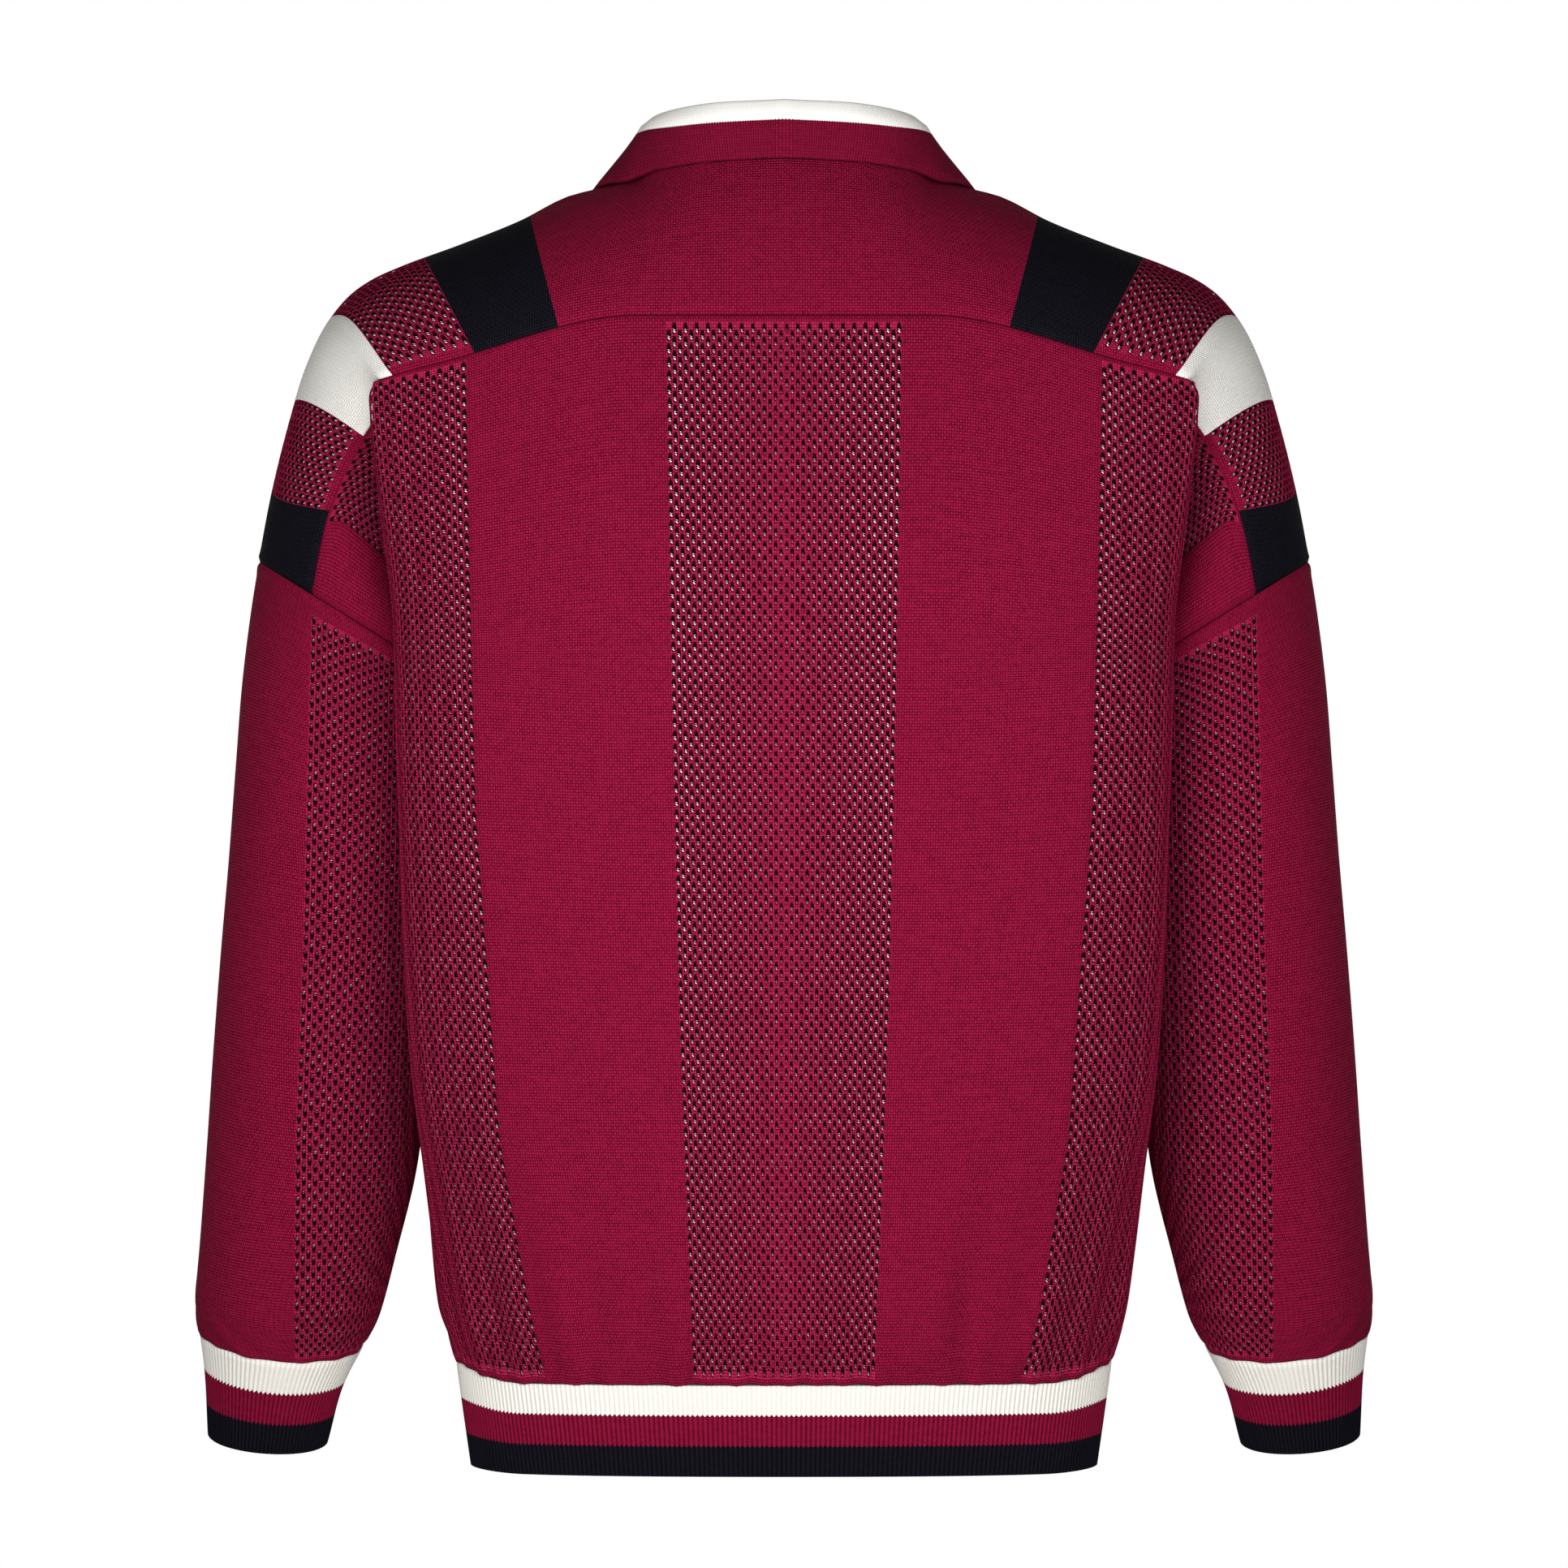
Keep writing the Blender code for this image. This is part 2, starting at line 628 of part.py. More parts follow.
def seam_shifts(points, normals, edges):
    """How far each edge point is drawn back from its seam line."""
    inward = {}
    for start, end in edges:
        for corner in (start, end):
            direction = unit(np.cross(normals[corner], points[end] - points[start]))
            inward.setdefault(corner, []).append(direction)
    shifts = {}
    for corner, (first, second) in inward.items():
        spread = max(CORNER_SPREAD, 1 + float(np.dot(first, second)))
        shifts[corner] = (first + second) / spread * SEAM_GAP / 2
    return shifts


def solid_wall(name, points, normals, faces, color, offset=-WALL, ribs=frozenset()):
    """A closed wall from a panel: its face, the same face moved by the offset, and its rims.

    The points numbered in ribs are raised by the rib relief.
    """
    edges = open_edges(faces)
    shifts = seam_shifts(points, normals, edges)
    mesh = bmesh.new()
    near = {}
    far = {}
    for corner in sorted({corner for face in faces for corner in face}):
        base = points[corner] + shifts.get(corner, 0)
        relief = RIB_RELIEF if corner in ribs else 0.0
        near[corner] = mesh.verts.new(base + normals[corner] * relief)
        far[corner] = mesh.verts.new(base + normals[corner] * offset)
    for face in faces:
        mesh.faces.new([near[corner] for corner in face])
        mesh.faces.new([far[corner] for corner in reversed(face)])
    for first, second in sorted((min(edge), max(edge)) for edge in edges):
        mesh.faces.new([near[first], near[second], far[second]])
        mesh.faces.new([near[first], far[second], far[first]])
    bmesh.ops.recalc_face_normals(mesh, faces=mesh.faces)
    data = bpy.data.meshes.new(name)
    mesh.to_mesh(data)
    mesh.free()
    data.shade_smooth()
    data.set_sharp_from_angle(angle=SHARP_EDGE)
    data.materials.append(knit_material(name, color))
    made = bpy.data.objects.new(name, data)
    bpy.context.scene.collection.objects.link(made)
    return made


def knit_material(name, color):
    material = bpy.data.materials.new(name + "_knit")
    material.use_nodes = True
    shader = material.node_tree.nodes["Principled BSDF"]
    shader.inputs["Base Color"].default_value = (*color, 1.0)
    shader.inputs["Roughness"].default_value = 0.85
    shader.inputs["Metallic"].default_value = 0.0
    material.diffuse_color = (*color, 1.0)
    return material


def make_panels():
    """The sewn shell: back, front, yoke and sleeves share the points of their seams."""
    back_low, back_high = panel_rows(-1)
    front_low, front_high = panel_rows(1)
    front_high = raise_to_top(front_high)
    backs, fronts = yoke_columns(back_high[-1], front_high[-1])
    strip = [np.array([column[r] for column in backs]) for r in range(STRIP_ROWS + 1)]
    fall = [np.array([column[r] for column in fronts]) for r in range(STRIP_ROWS + 1)]
    sleeve = sleeve_rows()
    panels = {
        "back": grid_faces(whole_rows(back_low)) + grid_faces(whole_rows(back_high)),
        "front": grid_faces(whole_rows(front_low), flip=True)
        + grid_faces(whole_rows(front_high), flip=True),
        "yoke": grid_faces(whole_rows(strip))
        + grid_faces(fall)
        + grid_faces([mirrored(row) for row in fall], flip=True),
        "sleeve_right": grid_faces(sleeve, flip=True),
        "sleeve_left": grid_faces([mirrored(row) for row in sleeve]),
    }
    points, normals, faces = weld(panels)
    for name in panels:
        solid_wall(name, points, normals, faces[name], BURGUNDY)


def make_ribbed(name, rows, color, flip):
    """A rib band whose ribs stand out from a plain inside."""
    points, normals, faces = weld({name: grid_faces(rows, flip)})
    raised = {point_key(point) for row in rows for point in row[1:-1:2]}
    ribs = {corner for corner, point in enumerate(points) if point_key(point) in raised}
    solid_wall(name, points, normals, faces[name], color, ribs=ribs)


def make_collar():
    points, normals, faces = weld({"collar": grid_faces(collar_rows(), flip=True)})
    solid_wall("collar", points, normals, faces["collar"], BURGUNDY, offset=WALL)


def main():
    for old in list(bpy.data.objects):
        bpy.data.objects.remove(old, do_unlink=True)
    make_panels()
    make_collar()
    make_ribbed("hem_rib", hem_rows(2 * HEM_RIBS), BLACK, flip=True)
    cuff = cuff_rows(2 * CUFF_RIBS)
    make_ribbed("cuff_right", cuff, CREAM, flip=True)
    make_ribbed("cuff_left", [mirrored(row) for row in cuff], CREAM, flip=False)


main()
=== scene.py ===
"""Looks of a fine-knit pullover, seen from the back as the photograph shows it.

Each panel is a thin shell on the form of its solid: eyelets are cut through it, ribs are raised at
their real pitch, and the stitches, colour blocks and sheen come from procedural materials.
Metres, +Z up. The wearer faces +Y, and the camera looks at the back along +Y.
"""

import math

import bpy
import numpy as np
from mathutils.bvhtree import BVHTree
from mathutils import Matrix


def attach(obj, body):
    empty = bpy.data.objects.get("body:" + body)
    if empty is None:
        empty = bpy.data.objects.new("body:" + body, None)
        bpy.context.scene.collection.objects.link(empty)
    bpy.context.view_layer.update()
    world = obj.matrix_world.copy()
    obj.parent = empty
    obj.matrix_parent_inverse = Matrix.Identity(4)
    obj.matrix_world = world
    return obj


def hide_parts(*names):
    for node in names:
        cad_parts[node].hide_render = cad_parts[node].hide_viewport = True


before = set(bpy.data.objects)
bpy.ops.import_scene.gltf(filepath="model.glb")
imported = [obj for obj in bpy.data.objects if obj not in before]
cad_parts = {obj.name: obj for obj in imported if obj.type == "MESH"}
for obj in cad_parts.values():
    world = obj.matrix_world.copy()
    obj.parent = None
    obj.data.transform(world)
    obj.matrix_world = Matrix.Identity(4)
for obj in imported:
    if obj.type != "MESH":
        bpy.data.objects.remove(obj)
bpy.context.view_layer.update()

# Camera: a long lens, level with the middle of the picture
CAMERA_DISTANCE = 7.0
VIEW_WIDTH = 0.8366
VIEW_MIDDLE_Z = -0.3173

# Knit
HOLE_PITCH = 0.00617
HOLE_ROW = 0.00353
WALE = 0.00138
COURSE = 0.00156
RIB_PITCH = 0.0024
COLLAR_RIB_PITCH = 0.00145
WALL = 0.0020
SEAM_GAP = 0.0003

# Colours, linear. Those called deep are painted shade for the hollows between the stitches.
BURGUNDY = (0.278, 0.0075, 0.0455)
BURGUNDY_DEEP = (0.062, 0.0004, 0.0062)
CREAM = (0.930, 0.915, 0.870)
CREAM_DEEP = (0.640, 0.620, 0.575)
# Painted highlight: a lighter copy of the burgundy for the lit cords of the open-work bands
MESH = (0.430, 0.0170, 0.0800)
MESH_DEEP = (0.105, 0.0015, 0.0130)
RIB_BURGUNDY = (0.182, 0.0045, 0.0285)
RIB_CREAM = (0.700, 0.678, 0.625)
RIB_CREAM_DEEP = (0.560, 0.540, 0.500)
RIB_BLACK = (0.0056, 0.0051, 0.0088)
# Painted shade: the collar's burgundy is darker than the body's for the shade between its ribs
COLLAR_BURGUNDY = (0.178, 0.0050, 0.0290)
COLLAR_CREAM = (0.950, 0.930, 0.875)
BLACK = (0.0088, 0.0079, 0.0138)
BLACK_DEEP = (0.0014, 0.0012, 0.0022)
# Painted highlights in the eyelets: white where brightest, pink where dimmer, with the pink's
# painted shade
WHITE = (0.950, 0.900, 0.900)
PINK = (0.560, 0.100, 0.200)
PINK_DEEP = (0.220, 0.030, 0.070)
# Painted shade: the near-black colour of the sheet behind the eyelets
SHADOW = (0.018, 0.0014, 0.0050)

# Torso
UNDERARM_Z = -0.2636
HEM_SEAM_Z = -0.6334
HEM_Z = -0.6808
SIDE_Y = 0.020
UNDERARM_DIP = 0.0044
MIDDLE_HANDLE = 0.60
SIDE_HANDLE = 0.72
DROP_START = 0.36
DROP_LENGTH = 0.66
FOLD_HANDLE = 0.14
POCKET_HANDLE = 0.50
POCKET_HOOK = 0.16
TOP_ROW_POWER = 2.2
STEPS = 72

# z, half width at the folds, back depth, front depth, half width at the side seam,
# back fold y, front fold y
SECTIONS = (
    (-0.6334, 0.1746, 0.1060, 0.1080, 0.1746, -0.020, 0.060),
    (-0.6220, 0.1774, 0.1115, 0.1130, 0.1774, -0.022, 0.062),
    (-0.5986, 0.1812, 0.1160, 0.1170, 0.1812, -0.025, 0.065),
    (-0.5728, 0.1846, 0.1175, 0.1190, 0.1846, -0.028, 0.068),
    (-0.5212, 0.1909, 0.1190, 0.1210, 0.1895, -0.040, 0.076),
    (-0.4825, 0.1961, 0.1200, 0.1220, 0.1870, -0.052, 0.084),
    (-0.4180, 0.2010, 0.1210, 0.1240, 0.1800, -0.060, 0.090),
    (-0.3320, 0.2040, 0.1230, 0.1280, 0.1720, -0.065, 0.096),
    (-0.2860, 0.2055, 0.1250, 0.1310, 0.1655, -0.067, 0.099),
    (-0.2636, 0.2058, 0.1250, 0.1310, 0.1695, -0.068, 0.100),
    (-0.2245, 0.2072, 0.1250, 0.1310, 0.1695, -0.069, 0.098),
    (-0.1815, 0.2125, 0.1220, 0.1270, 0.1695, -0.073, 0.092),
    (-0.1170, 0.2190, 0.1090, 0.1070, 0.1695, -0.083, 0.082),
    (-0.0710, 0.2190, 0.0980, 0.0900, 0.1695, -0.085, 0.076),
)

# Rows above the underarm.
# share of the armhole, centre back z, fold z, pocket x, pocket y, pocket z
BACK_ROWS = (
    (0.00, -0.2680, -0.2636, 0.1695, 0.0200, -0.2620),
    (0.17, -0.2370, -0.2400, 0.1735, 0.0110, -0.2430),
    (0.33, -0.2050, -0.2150, 0.1800, -0.0010, -0.2210),
    (0.67, -0.1370, -0.1560, 0.1950, -0.0320, -0.1680),
    (1.00, -0.0702, -0.1004, 0.2112, -0.0582, -0.1181),
)
FRONT_ROWS = (
    (0.00, -0.2680, -0.2636, 0.1695, 0.0200, -0.2620),
    (0.17, -0.2420, -0.2400, 0.1735, 0.0290, -0.2430),
    (0.33, -0.2150, -0.2150, 0.1800, 0.0410, -0.2210),
    (0.67, -0.1550, -0.1560, 0.1950, 0.0570, -0.1680),
    (1.00, -0.0960, -0.1010, 0.2100, 0.0610, -0.1180),
)

# Sleeve seam: an ellipse round the upper arm
RING_CENTRE = (0.2276, SIDE_Y, -0.2310)
RING_OUT = (0.0534, 0.0, 0.0326)
RING_DEPTH = 0.0700
STRIP_ANGLE = math.radians(64)
ARM_DIRECTION = (0.15, 0.0, -0.99)
POCKET_LOW = np.array([0.95, 0.30, 0.0])
POCKET_HIGH = np.array([0.68, 0.10, -0.72])
POCKET_TURN = 0.33
POCKET_REACH = 0.014
POCKET_REACH_SHARE = 0.35
CORNER_ROUNDING = 0.0045
CORNER_START = 0.90
CORNER_DROP = 0.0035
CORNER_WIDTH = 0.86
ARM_LIFT = 0.35
ARM_LIFT_SHARE = 1 / 6

# Top line of the shoulder, from the side-neck point to the sleeve seam: x, y, z
SHOULDER = (
    (0.0770, -0.006, 0.0060),
    (0.0993, -0.004, 0.0000),
    (0.1138, -0.003, -0.0036),
    (0.1410, 0.000, -0.0170),
    (0.1730, 0.003, -0.0296),
    (0.2058, 0.006, -0.0416),
    (0.2182, 0.008, -0.0470),
    (0.2306, 0.009, -0.0552),
    (0.2424, 0.011, -0.0686),
    (0.2556, 0.013, -0.0948),
    (0.2636, 0.015, -0.1207),
    (0.2740, 0.018, -0.1618),
)

# Colour blocks of the yoke, from the middle of the back to the sleeve seam: share of the back
# edge where the block ends, share of the shoulder line there, columns of stitches
YOKE_BLOCKS = (
    (0.329, 0.194, 36, "burgundy"),
    (0.457, 0.384, 16, "black"),
    (0.582, 0.574, 15, "mesh"),
    (0.751, 0.727, 20, "cream"),
    (0.872, 0.878, 15, "mesh"),
    (1.000, 1.000, 14, "black"),
)
# How far the lines between the blocks bow, in columns at the middle of the strip
BLOCK_BOW = ((0.0, 0.0), (0.45, 0.0), (0.582, -1.7), (0.751, -1.2), (0.872, 1.3), (1.0, 0.0))
NECK_TILT = math.radians(38)
SHOULDER_TILT = math.radians(8)
BACK_TILT = math.radians(78)
FRONT_TILT = math.radians(66)

# Front edge of the yoke, from the neckline towards the fold beside the arm: x, y, z
FRONT_EDGE = (
    (0.0670, 0.0440, -0.0290),
    (0.0980, 0.0590, -0.0440),
    (0.1380, 0.0770, -0.0620),
    (0.1800, 0.0860, -0.0840),
)

# Neckline from the middle of the back to the middle of the front: x, y, z
NECKLINE = (
    (0.0000, -0.0660, 0.0180),
    (0.0420, -0.0590, 0.0160),
    (0.0690, -0.0360, 0.0115),
    (0.0770, -0.0060, 0.0060),
    (0.0755, 0.0220, -0.0085),
    (0.0670, 0.0440, -0.0290),
    (0.0460, 0.0680, -0.0560),
    (0.0220, 0.0890, -0.0830),
    (0.0000, 0.0990, -0.0960),
)
NECK_SIDE_ROW = 3
NECK_FRONT_ROW = 5
# How many of the twelve parts of the panel lie beside the neckline
NECK_PARTS = 5
PANEL_PARTS = 12
POCKET_PARTS = 5
ARM_PARTS = 4

# Collar sections: share of the neckline, stand height, lean towards the neck in degrees,
# leaf length, leaf slope in degrees, how far down the leaf the cream reaches
COLLAR = (
    (0.00, 0.0270, 9.0, 0.0280, 54.0, 0.0118),
    (0.20, 0.0268, 10.0, 0.0282, 52.0, 0.0114),
    (0.36, 0.0262, 13.0, 0.0300, 42.0, 0.0062),
    (0.48, 0.0240, 8.0, 0.0405, 44.0, 0.0032),
    (0.60, 0.0205, 8.0, 0.0390, 44.0, 0.0020),
    (0.85, 0.0140, 0.0, 0.0330, 52.0, 0.0020),
    (1.00, 0.0120, 0.0, 0.0330, 60.0, 0.0020),
)
ROLL_RADIUS = 0.0012
LEAF_BULGE = 0.0015
COLLAR_END = 0.985
COLLAR_SPREAD = 0.05

# Sleeve rings: share of the sleeve, outer x, outer z, inner x, inner z, middle y,
# half depth, how far the back lies below the middle
SLEEVE = (
    (0.00, 0.2810, -0.1984, 0.1742, -0.2636, 0.0200, 0.0700, 0.0000),
    (0.08, 0.2857, -0.2288, 0.1800, -0.2790, 0.0200, 0.0670, 0.0000),
    (0.16, 0.2899, -0.2632, 0.1820, -0.3010, 0.0205, 0.0645, 0.0000),
    (0.26, 0.2933, -0.3062, 0.1835, -0.3340, 0.0215, 0.0620, 0.0010),
    (0.38, 0.2973, -0.3578, 0.1855, -0.3780, 0.0245, 0.0600, 0.0020),
    (0.50, 0.3019, -0.4094, 0.1885, -0.4260, 0.0290, 0.0580, 0.0035),
    (0.62, 0.3061, -0.4610, 0.1915, -0.4740, 0.0355, 0.0570, 0.0055),
    (0.74, 0.3099, -0.5126, 0.1968, -0.5220, 0.0430, 0.0555, 0.0080),
    (0.86, 0.3140, -0.5640, 0.2080, -0.5680, 0.0515, 0.0530, 0.0100),
    (0.94, 0.3166, -0.5942, 0.2170, -0.6005, 0.0570, 0.0485, 0.0110),
    (1.00, 0.3149, -0.6099, 0.2256, -0.6178, 0.0600, 0.0430, 0.0125),
)
CUFF = (
    (0.00, 0.3143, -0.6102, 0.2262, -0.6181, 0.0601, 0.0425, 0.0125),
    (0.30, 0.3122, -0.6278, 0.2352, -0.6352, 0.0642, 0.0385, 0.0108),
    (1.00, 0.3104, -0.6672, 0.2462, -0.6718, 0.0735, 0.0345, 0.0068),
)
# The hem rises towards the sides: how far out it starts and is full, and the rise at the seam
HEM_RISE = (0.138, 0.1746, 0.0105)
HEM_RISE_MOST = 1.1
# The share of the rise left at the band's bottom, and how far up the panels it reaches
HEM_RISE_LOW = 0.33
HEM_RISE_REACH = 0.055
# How much narrower than the panels the band is at its top, and how much more at its bottom, in
# the columns of SECTIONS
HEM_STEP = np.array([0.0004, 0.0, 0.0, 0.0004, 0.0, 0.0])
HEM_NARROWING = np.array([0.0078, 0.0045, 0.0045, 0.0078, 0.0, 0.0])


# Curves and tables


def smooth_row(table, key):
    """The other columns of a table at one key, on a smooth curve through its rows."""
    rows = np.array(table)
    keys = rows[:, 0]
    values = rows[:, 1:]
    slopes = np.gradient(values, keys, axis=0)
    i = int(np.clip(np.searchsorted(keys, key) - 1, 0, len(keys) - 2))
    span = keys[i + 1] - keys[i]
    t = (key - keys[i]) / span
    rise = t * t * (3 - 2 * t)
    return (
        values[i] * (1 - rise)
        + values[i + 1] * rise
        + slopes[i] * span * t * (1 - t) ** 2
        - slopes[i + 1] * span * t * t * (1 - t)
    )


def smooth_curve(points, steps=48):
    """A dense smooth polyline through a few points."""
    points = np.array(points)
    lengths = np.linalg.norm(np.diff(points, axis=0), axis=1)
    keys = np.concatenate([[0.0], np.cumsum(lengths)])
    table = np.column_stack([keys, points])
    dense = []
    for start, end in zip(keys[:-1], keys[1:]):
        dense += [smooth_row(table, start + (end - start) * k / steps) for k in range(steps)]
    dense.append(points[-1])
    return np.array(dense)


def bezier(start, start_handle, end_handle, end, steps=STEPS):
    t = np.linspace(0, 1, steps + 1)[:, None]
    return (
        start * (1 - t) ** 3
        + 3 * start_handle * t * (1 - t) ** 2
        + 3 * end_handle * t * t * (1 - t)
        + end * t**3
    )


def run_lengths(line):
    return np.concatenate([[0.0], np.cumsum(np.linalg.norm(np.diff(line, axis=0), axis=1))])


def at_shares(line, shares):
    """Points of a polyline at shares of its length."""
    lengths = run_lengths(line)
    places = np.asarray(shares) * lengths[-1]
    return np.column_stack([np.interp(places, lengths, line[:, axis]) for axis in range(3)])


def unit(vector):
    return vector / np.linalg.norm(vector)


def units(vectors):
    return vectors / np.maximum(np.linalg.norm(vectors, axis=-1, keepdims=True), 1e-12)


def mirrored(points):
    return np.asarray(points) * np.array([-1.0, 1.0, 1.0])


# Surfaces, the same as the solids'


def seam_ring(angle):
    x, y, z = np.array(RING_CENTRE) + np.array(RING_OUT) * math.cos(angle)
    return np.array([x, y - RING_DEPTH * math.sin(angle), z])


def armhole_angle(share):
    return math.pi + (STRIP_ANGLE - math.pi) * share


def torso_row(centre, fold, pocket):
    side = 1.0 if centre[1] > 0 else -1.0
    along_y = np.array([0.0, side, 0.0])
    depth = abs(centre[1] - fold[1])
    flat = centre + np.array([MIDDLE_HANDLE * fold[0], 0, 0])
    panel = bezier(centre, flat, fold + along_y * SIDE_HANDLE * depth, fold)
    rise = np.clip((panel[:, 0] / fold[0] - DROP_START) / DROP_LENGTH, 0, 1)
    panel[:, 2] = centre[2] + (fold[2] - centre[2]) * rise * rise * (3 - 2 * rise)
    panel[-1] = fold
    run = abs(pocket[1] - fold[1])
    hook = np.array([POCKET_HOOK * (fold[0] - pocket[0]), 0, 0])
    lead = pocket + along_y * POCKET_HANDLE * run - hook
    return panel, bezier(fold, fold - along_y * FOLD_HANDLE * run, lead, pocket)


def crossing(share, side):
    turned = max(0.0, (share - POCKET_TURN) / (1 - POCKET_TURN))
    direction = POCKET_LOW + (POCKET_HIGH - POCKET_LOW) * turned
    if share == 0:
        direction = np.array([1.0, 0.0, 0.0])
    return unit(direction * np.array([1.0, -side, 1.0]))


def pocket_line(fold, pocket, share, side):
    along_y = np.array([0.0, side, 0.0])
    run = abs(pocket[1] - fold[1])
    reach = min(POCKET_REACH, POCKET_REACH_SHARE * np.linalg.norm(pocket - fold))
    lead = pocket - crossing(share, side) * reach
    return bezier(fold, fold - along_y * FOLD_HANDLE * run, lead, pocket)


def arm_line(pocket, end, share, side):
    reach = np.linalg.norm(end - pocket) / 3
    lift = np.array([0.0, side * ARM_LIFT, 0.0]) * min(1.0, share / ARM_LIFT_SHARE)
    lift = lift - np.array(ARM_DIRECTION)
    return bezier(pocket, pocket + crossing(share, side) * reach, end + lift * reach, end)


def low_row(share, side):
    """The dense lines of half a row between the hem and the underarm."""
    z = HEM_SEAM_Z + (UNDERARM_Z - HEM_SEAM_Z) * share
    depth_column, fold_column = (1, 4) if side < 0 else (2, 5)
    section = smooth_row(SECTIONS, z)
    centre = np.array([0.0, side * section[depth_column], z - UNDERARM_DIP * share**2])
    fold = np.array([section[0], section[fold_column], z])
    return torso_row(centre, fold, np.array([section[3], SIDE_Y, z]))


def high_row(share, side):
    """The dense lines of half a row beside the armhole."""
    depth_column, fold_column = (1, 4) if side < 0 else (2, 5)
    centre_z, fold_z, *pocket = smooth_row(BACK_ROWS if side < 0 else FRONT_ROWS, share)
    section = smooth_row(SECTIONS, fold_z)
    centre = np.array([0.0, side * smooth_row(SECTIONS, centre_z)[depth_column], centre_z])
    near_top = max(0.0, (share - CORNER_START) / (1 - CORNER_START)) ** 2
    fold = np.array([section[0] - CORNER_ROUNDING * near_top, section[fold_column], fold_z])
    pocket = np.array(pocket)
    end = seam_ring(-side * armhole_angle(share))
    panel, into = torso_row(centre, fold, pocket)
    if side < 0:
        drop = CORNER_DROP * near_top
        outward = np.clip((panel[:, 0] / fold[0] - CORNER_WIDTH) / (1 - CORNER_WIDTH), 0, 1)
        panel[:, 2] -= drop * outward**2
        fold = panel[-1]
    if share > 0:
        into = pocket_line(fold, pocket, share, side)
    return panel, into, arm_line(pocket, end, share, side)


def hem_risen(points, share_left):
    """Points near the hem, raised towards the sides."""
    start, full, rise = HEM_RISE
    side = np.clip((np.abs(points[..., 0]) - start) / (full - start), 0, HEM_RISE_MOST) ** 2
    risen = np.array(points)
    risen[..., 2] += rise * side * share_left
    return risen


def above_hem(points):
    """Points of a body panel, raised near the hem as the band is."""
    left = np.clip(1 - (points[..., 2] - HEM_SEAM_Z) / HEM_RISE_REACH, 0, 1) ** 2
    return hem_risen(points, left)


def joined(lines):
    return np.concatenate([lines[0]] + [line[1:] for line in lines[1:]])


def neckline_parts():
    line = smooth_curve(NECKLINE)
    steps = (len(line) - 1) // (len(NECKLINE) - 1)
    side = NECK_SIDE_ROW * steps
    front = NECK_FRONT_ROW * steps
    return line[: side + 1], line[side : front + 1], line[front:]


def arch(top, foot, start, end, steps=STEPS):
    angle = np.linspace(start, end, steps + 1)[:, None]
    out = (np.sin(angle) - math.sin(start)) / (math.sin(end) - math.sin(start))
    drop = (math.cos(start) - np.cos(angle)) / (math.cos(start) - math.cos(end))
    return top + (foot - top) * np.concatenate([drop, out, drop], axis=1)


def sleeve_ring(row, angles):
    outer_x, outer_z, inner_x, inner_z, middle_y, depth, drop = row
    out = (1 + np.cos(angles)) / 2
    back = np.sin(angles)
    x = inner_x + (outer_x - inner_x) * out
    z = inner_z + (outer_z - inner_z) * out - drop * back
    return np.column_stack([x, middle_y - depth * back, z])


def body_ring(section, z, count):
    """A ring round the body at one section, evenly spaced, from the middle of the back."""
    halves = []
    for side, depth, fold_y in ((-1, section[1], section[4]), (1, section[2], section[5])):
        centre = np.array([0.0, side * depth, z])
        fold = np.array([section[0], fold_y, z])
        halves.append(joined(torso_row(centre, fold, np.array([section[3], SIDE_Y, z]))))
    right = np.concatenate([halves[0], halves[1][-2::-1]])
    line = np.concatenate([right, mirrored(right[-2::-1])])
    return at_shares(line, np.arange(count) / count)


# Meshes


def grid_normals(points, wrap=False):
    """Normals of a grid of points, from the differences along its rows and columns."""
    if wrap:
        padded = np.concatenate([points[:, -1:], points, points[:, :1]], axis=1)
        across = (padded[:, 2:] - padded[:, :-2]) / 2
    else:
        across = np.gradient(points, axis=1)
    return units(np.cross(across, np.gradient(points, axis=0)))


def add_object(name, points, faces, uvs, face_uvs, materials, face_materials, tint=None):
    """faces and face_uvs are lists of index arrays, each array with faces of one size.

    tint says how far each point takes its material's second colour: painted shade on the eyelets'
    rims, and the white of the painted highlight strands.
    """
    used = np.zeros(len(points), dtype=bool)
    for f in faces:
        used[f.ravel()] = True
    number = np.cumsum(used) - 1
    points = np.asarray(points)[used]
    faces = [number[f] for f in faces]
    mesh = bpy.data.meshes.new(name)
    counts = np.concatenate([np.full(len(f), f.shape[1]) for f in faces])
    starts = np.concatenate([[0], np.cumsum(counts)[:-1]])
    loops = np.concatenate([f.ravel() for f in faces])
    mesh.vertices.add(len(points))
    mesh.vertices.foreach_set("co", points.astype(np.float32).ravel())
    mesh.loops.add(len(loops))
    mesh.loops.foreach_set("vertex_index", loops.astype(np.int32))
    mesh.polygons.add(len(counts))
    mesh.polygons.foreach_set("loop_start", starts.astype(np.int32))
    mesh.polygons.foreach_set("material_index", np.concatenate(face_materials).astype(np.int32))
    mesh.update(calc_edges=True)
    layer = mesh.uv_layers.new(name="knit")
    corner_uvs = np.concatenate([f.ravel() for f in face_uvs])
    layer.data.foreach_set("uv", np.asarray(uvs, dtype=np.float32)[corner_uvs].ravel())
    tinted = mesh.attributes.new("tint", "FLOAT", "POINT")
    tinted.data.foreach_set("value", np.zeros(len(points)) if tint is None else tint[used])
    mesh.validate()
    mesh.shade_smooth()
    made = bpy.data.objects.new(name, mesh)
    for material in materials:
        mesh.materials.append(material)
    bpy.context.scene.collection.objects.link(made)
    return made


# Corners of an eyelet, as shares of its tile's width and height from the tile's middle
EYELET = np.array(
    [(-0.15, -0.38), (0.15, -0.38), (0.41, 0.05), (0.19, 0.40), (-0.19, 0.40), (-0.41, 0.05)]
)
# How deep the eyelet's rim, its strands of painted highlight and the dark sheet of painted shade
# lie
EYELET_SINK = 0.0007
STRAND_SINK = 0.0008
SHADE_SHEET_SINK = 0.0014
